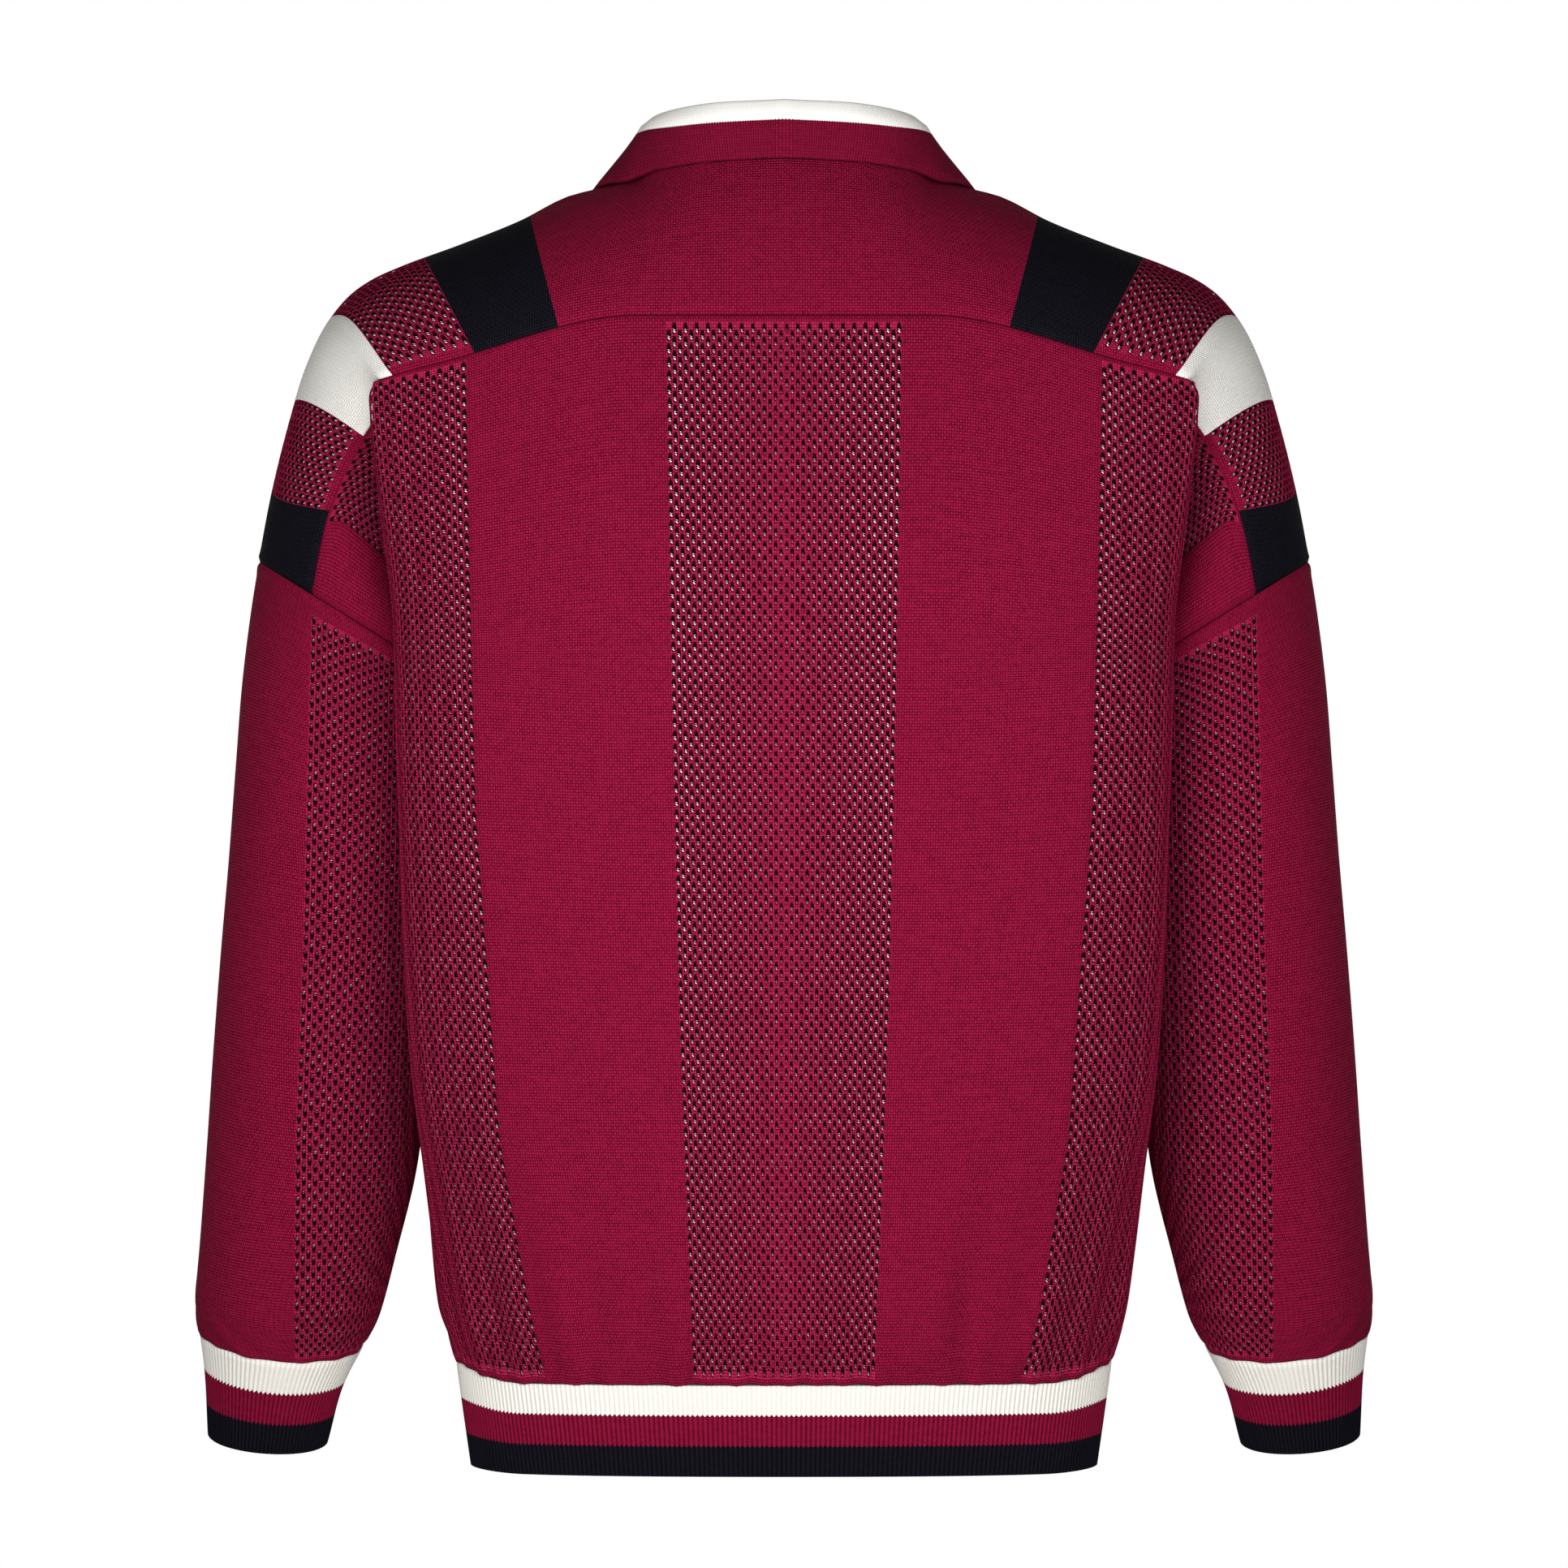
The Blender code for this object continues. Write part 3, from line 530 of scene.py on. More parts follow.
# Painted highlights: slanted pale strands in the lower half of an eyelet
HIGHLIGHT_STRANDS = (
    np.array([(-0.20, -0.06), (0.16, -0.13), (0.17, -0.10), (-0.20, -0.03)]),
    np.array([(-0.14, -0.24), (0.12, -0.34), (0.20, -0.25), (-0.17, -0.14)]),
)
# How much the painted highlight strands of neighbouring eyelets differ
PALE_SPREAD = 0.45
PALE_SEED = 11


def even_grid(table, rows, columns):
    """Every second row and column of a grid between the ends given, with both ends kept."""
    picked = [np.unique(np.append(np.arange(a, b, 2), b)) for a, b in (rows, columns)]
    return table[np.ix_(*picked)]


def corners(table, r, c):
    """The values of a grid at the four corners of the cells given."""
    return np.column_stack([table[r, c], table[r, c + 1], table[r + 1, c + 1], table[r + 1, c]])


def knit_shell(
    name, points, normals, marks, color, mesh_cells, pale, openness, lift, wrap=False, flip=False
):
    """A knit panel on a grid of points, and behind its eyelets a dark sheet of painted shade with
    painted highlight strands on it.

    marks are the cloth's coordinates at the points, and color is the material of each cell.
    mesh_cells tells the open cells, two to an eyelet, one above the other. pale is how white the
    painted highlight strands in an eyelet are, and openness its size. wrap closes the grid into a
    tube.
    """
    rows, columns = points.shape[:2]
    points = points + normals * lift[..., None]
    ids = np.arange(rows * columns).reshape(rows, columns)
    uv_ids = ids.copy()
    if wrap:
        ids[:, -1] = ids[:, 0]
    uvs = marks.reshape(-1, 2)
    row_number, column_number = np.indices(mesh_cells.shape)
    start = np.zeros_like(mesh_cells)
    start[:-1] = mesh_cells[:-1] & mesh_cells[1:] & ((row_number + column_number)[:-1] % 2 == 0)
    covered = start.copy()
    covered[1:] |= start[:-1]
    r, c = np.nonzero(~covered)

    faces = [corners(ids, r, c)]
    face_uvs = [corners(uv_ids, r, c)]
    face_colors = [color[r, c]]
    flat_points = points.reshape(-1, 3)
    flat_normals = normals.reshape(-1, 3)
    tint = np.zeros(len(flat_points))
    r, c = np.nonzero(start)
    inner = None
    if len(r):
        spots = [(r, c), (r, c + 1), (r + 1, c + 1), (r + 2, c + 1), (r + 2, c), (r + 1, c)]
        edge = np.column_stack([ids[spot] for spot in spots])
        edge_uv = np.column_stack([uv_ids[spot] for spot in spots])
        p = flat_points[edge]
        q = uvs[edge_uv]
        normal = units(flat_normals[edge].mean(axis=1))
        middle = p.mean(axis=1)
        across = (p[:, 1] + p[:, 3] - p[:, 0] - p[:, 4]) / 2
        along = (p[:, 3] + p[:, 4] - p[:, 0] - p[:, 1]) / 2
        uv_middle = q.mean(axis=1)
        uv_across = q[:, 1] - q[:, 0]
        uv_along = q[:, 4] - q[:, 0]
        scale = openness[r, c][:, None, None]

        def placed(shape, sink):
            share = shape[None] * scale
            spots = middle[:, None] + across[:, None] * share[..., :1]
            spots = spots + along[:, None] * share[..., 1:] - normal[:, None] * sink
            spot_marks = uv_middle[:, None] + uv_across[:, None] * share[..., :1]
            spot_marks = spot_marks + uv_along[:, None] * share[..., 1:]
            return spots.reshape(-1, 3), spot_marks.reshape(-1, 2)

        ring, ring_marks = placed(EYELET, EYELET_SINK)
        sides = len(EYELET)
        ring_ids = len(flat_points) + np.arange(len(r) * sides).reshape(-1, sides)
        flat_points = np.concatenate([flat_points, ring])
        # The ring's points take the painted shade of the eyelet's rim
        tint = np.concatenate([tint, np.ones(len(ring))])
        for k in range(sides):
            n = (k + 1) % sides
            rim = [ring_ids[:, n], ring_ids[:, k]]
            faces.append(np.column_stack([edge[:, k], edge[:, n], *rim]))
            face_uvs.append(np.column_stack([edge_uv[:, k], edge_uv[:, n], *rim]))
            face_colors.append(color[r, c])
        # A dark sheet of painted shade, behind each run of open columns
        inner_points = (points - normals * SHADE_SHEET_SINK).reshape(-1, 3)
        inner_uvs = uvs
        inner_tint = np.zeros(len(inner_points))
        inner_faces = []
        inner_colors = []
        open_columns = np.nonzero(mesh_cells.any(axis=0))[0]
        open_rows = np.nonzero(mesh_cells.any(axis=1))[0]
        row_ends = (max(0, open_rows[0] - 1), min(rows - 1, open_rows[-1] + 2))
        for run in np.split(open_columns, np.nonzero(np.diff(open_columns) > 1)[0] + 1):
            ends = (max(0, run[0] - 1), min(columns - 1, run[-1] + 2))
            inner_faces.append(grid_quads(even_grid(uv_ids, row_ends, ends)))
            inner_colors.append(np.zeros(len(inner_faces[-1]), dtype=int))
        # The strands are painted highlights, whiter or pinker from eyelet to eyelet
        chance = np.random.default_rng(PALE_SEED).random(len(r)) - 0.5
        whiteness = np.clip(pale[r, c] + PALE_SPREAD * chance, 0, 1)
        for shape in HIGHLIGHT_STRANDS:
            spots, spot_marks = placed(shape, STRAND_SINK)
            first = len(inner_points)
            inner_points = np.concatenate([inner_points, spots])
            inner_uvs = np.concatenate([inner_uvs, spot_marks])
            inner_tint = np.concatenate([inner_tint, np.repeat(whiteness, 4)])
            inner_faces.append(first + np.arange(len(spots)).reshape(-1, 4))
            inner_colors.append(np.ones(len(r), dtype=int))
        if flip:
            inner_faces = [f[:, ::-1] for f in inner_faces]
        inner_grids = (inner_points, inner_faces, inner_uvs, inner_faces)
        # The dark sheet of painted shade and the painted highlight strands, as one object
        inner = add_object(name + "_inner", *inner_grids, SHADE_AND_HIGHLIGHT_MATERIALS, inner_colors, inner_tint)
        uvs = np.concatenate([uvs, ring_marks])
    if flip:
        faces = [f[:, ::-1] for f in faces]
        face_uvs = [f[:, ::-1] for f in face_uvs]
    return add_object(name, flat_points, faces, uvs, face_uvs, KNIT, face_colors, tint), inner


def grid_quads(ids):
    low = (ids[:-1, :-1], ids[:-1, 1:], ids[1:, 1:], ids[1:, :-1])
    return np.column_stack([part.ravel() for part in low])


# Materials

# How much higher every second loop is
CHESS = 0.55
# How much the tone differs from stitch to stitch and along the yarn's streaks, and their size
STITCH_TONE = 2.2
STREAK_TONE = 3.0
STREAK_SCALE = (60.0, 420.0, 1.0)
# How the height of a loop brings its colour: painted shade, from the deep colour in the hollows to
# the full one on top
FACE_GAIN = 1.05
FACE_START = 0.05
# The painted shade on an eyelet's rim: its tone, its strength and how fast it falls off
RIM_TONE = 0.12
RIM_STRENGTH = 0.85
RIM_POWER = 1.5


def knit_material(
    name,
    color,
    deep,
    tinted=None,
    wale=WALE,
    offset=0.0,
    loops=1.0,
    relief=0.0004,
    grain=0.10,
    sheen=0.04,
):
    """Knit cloth: rows of small loops, every second one a little higher, no two of one tone, with
    painted shade in the hollows between them.

    tinted is the colour the tint brings, the white of the painted highlight strands, or else the
    yarn's own in deep painted shade on the eyelets' rims. Where loops is small, the loops of a rib
    run together into a cord.
    """
    material = bpy.data.materials.new(name)
    material.use_nodes = True
    material.diffuse_color = (*color, 1.0)
    nodes = material.node_tree.nodes
    links = material.node_tree.links
    shader = nodes["Principled BSDF"]
    shader.inputs["Roughness"].default_value = 0.95
    shader.inputs["Specular IOR Level"].default_value = 0.04
    shader.inputs["Sheen Weight"].default_value = sheen
    shader.inputs["Sheen Roughness"].default_value = 0.5
    shader.inputs["Sheen Tint"].default_value = (*[min(1.0, c * 1.6 + 0.02) for c in color], 1.0)

    def math_node(operation, first, second=None, third=None):
        node = nodes.new("ShaderNodeMath")
        node.operation = operation
        for socket, value in zip(node.inputs, (first, second, third)):
            if value is None:
                continue
            if isinstance(value, (int, float)):
                socket.default_value = value
            else:
                links.new(value, socket)
        return node.outputs[0]

    def mixed(factor, first, second):
        node = nodes.new("ShaderNodeMix")
        node.data_type = "RGBA"
        node.clamp_factor = True
        links.new(factor, node.inputs["Factor"])
        for place, value in zip((6, 7), (first, second)):
            if isinstance(value, tuple):
                node.inputs[place].default_value = (*value, 1.0)
            else:
                links.new(value, node.inputs[place])
        return node.outputs[2]

    cloth = nodes.new("ShaderNodeUVMap")
    cloth.uv_map = "knit"
    parts = nodes.new("ShaderNodeSeparateXYZ")
    links.new(cloth.outputs["UV"], parts.inputs[0])
    across = math_node("MULTIPLY_ADD", parts.outputs["X"], 1 / wale, offset)
    along = math_node("DIVIDE", parts.outputs["Y"], COURSE)

    def wave(place, shift):
        turned = math_node("MULTIPLY_ADD", place, math.pi, shift)
        return math_node("SINE", turned)

    # Loops stand in a plain grid, and every second one is higher, as on a chessboard
    cord = wave(across, 0.0)
    knot = wave(along, 0.0)
    beaded = math_node("MULTIPLY_ADD", math_node("ABSOLUTE", knot), loops, 1 - loops)
    height = math_node("MULTIPLY", math_node("ABSOLUTE", cord), beaded)
    chess = math_node("MULTIPLY", cord, knot)
    height = math_node("MULTIPLY_ADD", chess, 0.5 * CHESS * loops, height)

    cell = nodes.new("ShaderNodeCombineXYZ")
    links.new(math_node("FLOOR", across), cell.inputs[0])
    links.new(math_node("FLOOR", along), cell.inputs[1])
    each = nodes.new("ShaderNodeTexWhiteNoise")
    each.noise_dimensions = "2D"
    links.new(cell.outputs[0], each.inputs["Vector"])
    streak_place = nodes.new("ShaderNodeMapping")
    streak_place.inputs["Scale"].default_value = STREAK_SCALE
    links.new(cloth.outputs["UV"], streak_place.inputs["Vector"])
    streak = nodes.new("ShaderNodeTexNoise")
    streak.inputs["Scale"].default_value = 1.0
    streak.inputs["Detail"].default_value = 3.0
    links.new(streak_place.outputs[0], streak.inputs["Vector"])
    tone = height
    tones = ((each.outputs["Value"], STITCH_TONE), (streak.outputs["Fac"], STREAK_TONE))
    for value, amount in tones:
        centred = math_node("SUBTRACT", value, 0.5)
        tone = math_node("MULTIPLY_ADD", centred, grain * amount, tone)
    # Painted shade: the low parts of the loops take the deep colour
    face = mixed(math_node("MULTIPLY_ADD", tone, FACE_GAIN, FACE_START), deep, color)
    # The tint paints shade on an eyelet's rim, or the white of a painted highlight strand
    tint = nodes.new("ShaderNodeAttribute")
    tint.attribute_name = "tint"
    amount = tint.outputs["Fac"]
    if tinted is None:
        tinted = tuple(c * RIM_TONE for c in color)
        amount = math_node("MULTIPLY", math_node("POWER", amount, RIM_POWER), RIM_STRENGTH)
    links.new(mixed(amount, face, tinted), shader.inputs["Base Color"])
    bump = nodes.new("ShaderNodeBump")
    bump.inputs["Strength"].default_value = 0.8
    bump.inputs["Distance"].default_value = relief
    links.new(height, bump.inputs["Height"])
    links.new(bump.outputs["Normal"], shader.inputs["Normal"])
    return material


burgundy = knit_material("burgundy_knit", BURGUNDY, BURGUNDY_DEEP)
cream = knit_material("cream_knit", CREAM, CREAM_DEEP, grain=0.05)
black = knit_material("black_knit", BLACK, BLACK_DEEP, sheen=0.01)
# Painted highlights: the strands in the eyelets, pink, or white where the tint brings it
yarn = knit_material("painted_highlight_strands", PINK, PINK_DEEP, tinted=WHITE, relief=0.0001)
# Painted shade: the near-black sheet behind the eyelets
painted_shade_sheet = knit_material("painted_shade_sheet", SHADOW, tuple(c / 3 for c in SHADOW), sheen=0.0)
RIB_LOOK = {"wale": RIB_PITCH, "offset": 0.5, "loops": 0.15, "relief": 0.0002}
rib_burgundy = knit_material("burgundy_rib", RIB_BURGUNDY, BURGUNDY_DEEP, **RIB_LOOK)
rib_cream = knit_material("cream_rib", RIB_CREAM, RIB_CREAM_DEEP, grain=0.05, **RIB_LOOK)
rib_black = knit_material("black_rib", RIB_BLACK, BLACK_DEEP, sheen=0.01, **RIB_LOOK)
COLLAR_LOOK = {"wale": COLLAR_RIB_PITCH, "offset": 0.5, "loops": 0.5, "relief": 0.0002}
# Painted shade: darker burgundy for the shade between the collar's ribs
collar_burgundy = knit_material("burgundy_collar", COLLAR_BURGUNDY, BURGUNDY_DEEP, **COLLAR_LOOK)
collar_cream = knit_material("cream_collar", COLLAR_CREAM, CREAM, grain=0.05, **COLLAR_LOOK)
# Painted highlight: the open-work bands' burgundy, lighter than the plain cloth's
lit_mesh_knit = knit_material("burgundy_mesh_lit", MESH, MESH_DEEP)
KNIT = (burgundy, black, cream, lit_mesh_knit)
SHADE_AND_HIGHLIGHT_MATERIALS = (painted_shade_sheet, yarn)
RIB = (rib_burgundy, rib_cream, rib_black)
COLLAR_RIB = (collar_burgundy, collar_cream)
# Index 3, the open-work bands, is the lighter burgundy of painted highlight
COLOR_OF = {"burgundy": 0, "mesh": 3, "black": 1, "cream": 2}


# Panels


def distances(points, axis):
    """How far each grid point lies along its row or column, and the whole lengths."""
    steps = np.linalg.norm(np.diff(points, axis=axis), axis=2)
    sums = np.cumsum(steps, axis=axis)
    zero = np.zeros_like(sums.take([0], axis=axis))
    sums = np.concatenate([zero, sums], axis=axis)
    return sums, sums.take([-1], axis=axis)


# A sewn edge: how deep and how far the cloth turns in at the stitches, and the height, place and
# width of the rise beside them
SEAM_SINK = (0.0009, 0.0010)
SEAM_RISE = (0.0004, 0.0034, 0.0018)
# How much of that the edge at a rib band has
RIB_SEAM_SHARE = 0.3


def seam_lift(distance):
    """How far the cloth lies out at a distance from a sewn edge."""
    depth, reach = SEAM_SINK
    height, place, width = SEAM_RISE
    sunk = -depth * np.exp(-((distance / reach) ** 2))
    return sunk + height * np.exp(-(((distance - place) / width) ** 2))


# Long soft folds above the hem. Waves along it: length, phase, strength
FOLD_WAVES = ((0.083, 0.9, 1.0), (0.036, 2.1, 0.6))
FOLD_HEIGHT = 0.0022
# Distances from the hem: where the folds are full, where they are highest, and their reach
FOLD_FULL = 0.030
FOLD_PEAK = 0.022
FOLD_REACH = 0.070
# How far along the hem the front's folds are from the back's
FRONT_FOLD_SHIFT = 0.05


def broad_folds(u, distance):
    """Long soft folds that rise from the hem."""
    wave = sum(k * np.sin(u * 2 * math.pi / length + phase) for length, phase, k in FOLD_WAVES)
    near = np.clip(distance / FOLD_FULL, 0, 1)
    fade = near * near * (3 - 2 * near)
    return FOLD_HEIGHT * wave * fade * np.exp(-(((distance - FOLD_PEAK) / FOLD_REACH) ** 2))


# Small gathers at a rib band. Length of the main wave, how much and how fast it drifts, and
# length, phase and strength of the second wave
PUCKER_LENGTH = 0.0212
PUCKER_DRIFT = (1.3, 31.0)
PUCKER_SECOND = (0.0371, 2.0, 0.6)
# How far the gathers reach and how high they are, at the hem and at a cuff
HEM_PUCKERS = (0.018, 0.0008)
CUFF_PUCKERS = (0.02, 0.0006)


def puckers(u, distance, size):
    """Small gathers where the wide cloth meets a rib band."""
    reach, height = size
    drift, pace = PUCKER_DRIFT
    length, phase, strength = PUCKER_SECOND
    wave = np.sin(u * 2 * math.pi / PUCKER_LENGTH + drift * np.sin(u * pace))
    wave = wave + strength * np.sin(u * 2 * math.pi / length + phase)
    return height * wave * np.exp(-((distance / reach) ** 1.5))


# Columns of half the back: the middle band, the plain cloth, the side band and the rest
BACK_COLUMNS = (21, 34, 47, 10)
LOW_ROWS = 105
HIGH_ROWS = 56
# The first and last rows and columns lie close together, where the seams turn in
FIRST_SHARES = (0.0, 0.003, 0.006)
FIRST_EVEN_SHARE = 0.0095
LAST_SHARES = (0.988, 0.994, 1.0)
EDGE_SHARES = (0.9945, 0.9980, 1.0)
# Rows without eyelets along a seam
PLAIN_ROWS = 3
FLAT_HALF_WIDTH = 0.333
SIDE_BAND_WIDTH = 0.145
SIDE_BAND_GAIN = 0.0087

# Where the bands run on the worn back: height at the fold, half width of the middle band,
# inner edge of the side band
KNIT_LINES = (
    (-0.6334, 0.0476, 0.1250),
    (-0.5900, 0.0492, 0.1345),
    (-0.5040, 0.0527, 0.1496),
    (-0.4309, 0.0553, 0.1547),
    (-0.3320, 0.0576, 0.1619),
    (-0.2030, 0.0604, 0.1652),
    (-0.0998, 0.0623, 0.1674),
)


def panel_row_shares():
    """Shares of the rows of a body panel below the underarm and above it."""
    low = np.concatenate([FIRST_SHARES, np.linspace(FIRST_EVEN_SHARE, 1.0, LOW_ROWS)])
    high = np.linspace(0.0, 1.0, HIGH_ROWS + 1)[1:]
    return low, np.concatenate([high[:-1], LAST_SHARES])


def whole_row(half):
    return np.concatenate([mirrored(half[:0:-1]), half])


def back_row(line, panel_steps, fold_z, share):
    """Points of half a row of the back at its columns, which follow the bands of the knit."""
    lengths = run_lengths(line)
    knit = np.array(KNIT_LINES)
    marks = []
    for column in (1, 2):
        x = np.interp(fold_z, knit[:, 0], knit[:, column])
        marks.append(np.interp(x, line[:panel_steps, 0], lengths[:panel_steps]))
    stretch = min(1.0, lengths[-1] / FLAT_HALF_WIDTH)
    marks.append(marks[1] + (SIDE_BAND_WIDTH + SIDE_BAND_GAIN * share) * stretch)
    marks.append(lengths[-1])
    places = [0.0]
    start = 0.0
    for end, count in zip(marks, BACK_COLUMNS):
        places += list(start + (end - start) * (np.arange(count) + 1) / count)
        start = end
    places = places[:-1] + [lengths[-1] * k for k in EDGE_SHARES]
    return at_shares(line, np.array(places) / lengths[-1])


TUCK_DEPTH = 0.0032
TUCK_WIDTH = 0.003


def tucked(points, normals, marks, cells, lift, edges):
    """Adds a strip that turns in behind the seam at each of the named edges.

    cells is a list of the grids of values for each cell, and lift how far each point is raised.
    """
    for edge in edges:
        axis = 0 if edge in ("first_row", "last_row") else 1
        before = edge in ("first_row", "first_column")
        width = [(0, 0), (0, 0)]
        width[axis] = (1, 0) if before else (0, 1)
        points, normals, marks = (
            np.pad(grid, width + [(0, 0)], mode="edge") for grid in (points, normals, marks)
        )
        cells = [np.pad(grid, width, mode="edge") for grid in cells]
        lift = np.pad(lift, width, mode="edge")
        turned = (slice(None),) * axis + (0 if before else -1,)
        lift[turned] = -TUCK_DEPTH
        marks[turned + (Ellipsis, 1 - axis)] += -TUCK_WIDTH if before else TUCK_WIDTH
    return points, normals, marks, *cells, lift


def straight_marks(u, v):
    """Coordinates of a cloth whose columns lie at u and rows at v."""
    return np.stack(np.meshgrid(u, v), axis=-1)


# How white the painted highlight strands are: at least, how much more at the band's edges, how
# fast that falls off, and the share of it left at the hem
MIDDLE_PALE = (0.10, 0.95, 1.3, 0.18)
SIDE_PALE = (0.06, 0.55, 5.0, 0.4)
# How open the eyelets are along the middle of the back
MIDDLE_OPENNESS = 0.74


def make_back():
    low, high = panel_row_shares()
    rows = []
    for share in low[:-1]:
        lines = low_row(share, -1)
        z = HEM_SEAM_Z + (UNDERARM_Z - HEM_SEAM_Z) * share
        rows.append(back_row(joined(lines), len(lines[0]), z, 0.0))
    for share in [0.0, *high]:
        lines = high_row(share, -1)
        rows.append(back_row(joined(lines), len(lines[0]), lines[0][-1][2], share))
    points = above_hem(np.array([whole_row(row) for row in rows]))
    places = np.concatenate([low[:-1] * LOW_ROWS, LOW_ROWS + np.array([0.0, *high]) * HIGH_ROWS])
    v = places * HOLE_ROW
    columns = np.arange(points.shape[1] // 2 + 1)
    u_half = columns * HOLE_PITCH / 2
    u = np.concatenate([-u_half[:0:-1], u_half])
    middle = len(columns) - 1
    cells = np.arange(points.shape[1] - 1)
    out = np.where(cells >= middle, cells - middle, middle - 1 - cells)
    ends = np.cumsum(BACK_COLUMNS)
    in_band = (out < ends[0]) | ((out >= ends[1]) & (out < ends[2]))
    mesh_cells = np.tile(in_band, (points.shape[0] - 1, 1))
    mesh_cells[:PLAIN_ROWS] = False
    mesh_cells[-PLAIN_ROWS:] = False
    along, height = distances(points, 0)
    across, width = distances(points, 1)
    lift = seam_lift(height - along) + RIB_SEAM_SHARE * seam_lift(along)
    lift += seam_lift(np.minimum(across, width - across))
    lift += puckers(u[None, :], along, HEM_PUCKERS) + broad_folds(u[None, :], along)
    # The painted highlight strands are whitest at the top and along the bands' edges, and the
    # eyelets of the middle band close towards its middle
    top = (v[:-1] / v[-1])[:, None]
    in_middle = (out < ends[0])[None, :]
    to_edge = np.clip(out / ends[0], 0, 1)[None, :]
    least, more, power, low_share = MIDDLE_PALE
    middle_pale = least + more * to_edge**power * (low_share + (1 - low_share) * top)
    least, more, reach, low_share = SIDE_PALE
    inner_edge = np.exp(-np.clip(out - ends[1], 0, None) / reach)[None, :]
    side_pale = (least + more * inner_edge) * (low_share + (1 - low_share) * top)
    pale = np.where(in_middle, middle_pale, side_pale)
    open_share = MIDDLE_OPENNESS + (1 - MIDDLE_OPENNESS) * np.sqrt(to_edge)
    openness = np.where(in_middle, open_share, 1.0) * np.ones_like(top)
    color = np.where(mesh_cells, COLOR_OF["mesh"], COLOR_OF["burgundy"])
    edges = ("first_row", "last_row", "first_column", "last_column")
    cells = [color, mesh_cells, pale, openness]
    grids = tucked(points, grid_normals(points), straight_marks(u, v), cells, lift, edges)
    return knit_shell("back_panel", *grids)


FRONT_COLUMNS_PER_PART = 8


def front_columns():
    """Columns of half the front, even in each part as the solid's are."""
    counts = [parts * FRONT_COLUMNS_PER_PART for parts in (PANEL_PARTS, POCKET_PARTS, ARM_PARTS)]
    return [np.linspace(0, 1, count + 1) for count in counts]


def at_columns(lines, columns):
    """Points of a row's lines at their columns, with the ends that two lines share kept once."""
    parts = [at_shares(line, c[min(k, 1) :]) for k, (line, c) in enumerate(zip(lines, columns))]
    return np.concatenate(parts)


def front_top(row, columns):
    """Top edge of half the front: up the neckline, then out along the yoke to the fold."""
    _, _, neck_front = neckline_parts()
    count = len(columns[0]) - 1
    near = count * NECK_PARTS // PANEL_PARTS
    neck = at_shares(neck_front[::-1], np.linspace(0, 1, near + 1))
    edge = smooth_curve(FRONT_EDGE + (tuple(row[count]),))
    edge = at_shares(edge, np.linspace(0, 1, count - near + 1))
    return np.concatenate([neck, edge[1:], row[count + 1 :]])


def front_top_half():
    columns = front_columns()
    return front_top(at_columns(high_row(1.0, 1), columns), columns)


def make_front():
    columns = front_columns()
    low, high = panel_row_shares()
    low = low[::2]
    low[-1] = 1.0
    high = np.concatenate([high[:-3:2], high[-3:]])
    # Below the underarm a row ends at the side seam
    rows = [at_columns(low_row(share, 1), columns) for share in low[:-1]]
    high_rows = [at_columns(high_row(share, 1), columns) for share in [0.0, *high]]
    top = front_top(high_rows[-1], columns)
    rise = top - high_rows[-1]
    for k, share in enumerate([0.0, *high]):
        high_rows[k] = high_rows[k] + rise * share**TOP_ROW_POWER
    high_rows[-1] = top
    rows.append(high_rows[0][: len(rows[0])])
    low_points = above_hem(np.array([whole_row(row) for row in rows]))
    high_points = np.array([whole_row(row) for row in high_rows])
    return low_points, high_points, low, np.array([0.0, *high])


def front_shells():
    low_points, high_points, low, high = make_front()
    extra = (high_points.shape[1] - low_points.shape[1]) // 2
    rows_low, columns_low = low_points.shape[:2]
    rows_high, columns_high = high_points.shape[:2]
    points = np.concatenate([low_points.reshape(-1, 3), high_points[1:].reshape(-1, 3)])
    corner = high_points[0]
    ids_low = np.arange(rows_low * columns_low).reshape(rows_low, columns_low)
    ids_high = np.zeros((rows_high, columns_high), dtype=int)
    high_count = (rows_high - 1) * columns_high
    ids_high[1:] = rows_low * columns_low + np.arange(high_count).reshape(-1, columns_high)
    ids_high[0, extra : columns_high - extra] = ids_low[-1]
    first = len(points)
    points = np.concatenate([points, corner[:extra], corner[columns_high - extra :]])
    ids_high[0, :extra] = first + np.arange(extra)
    ids_high[0, columns_high - extra :] = first + extra + np.arange(extra)
    return points, ids_low, ids_high, low, high


def face_normals_of(points, quads):
    """Vertex normals of a set of quads."""
    p = points[quads]
    normal = np.cross(p[:, 2] - p[:, 0], p[:, 3] - p[:, 1])
    sums = np.zeros_like(points)
    for k in range(4):
        np.add.at(sums, quads[:, k], normal)
    return units(sums)


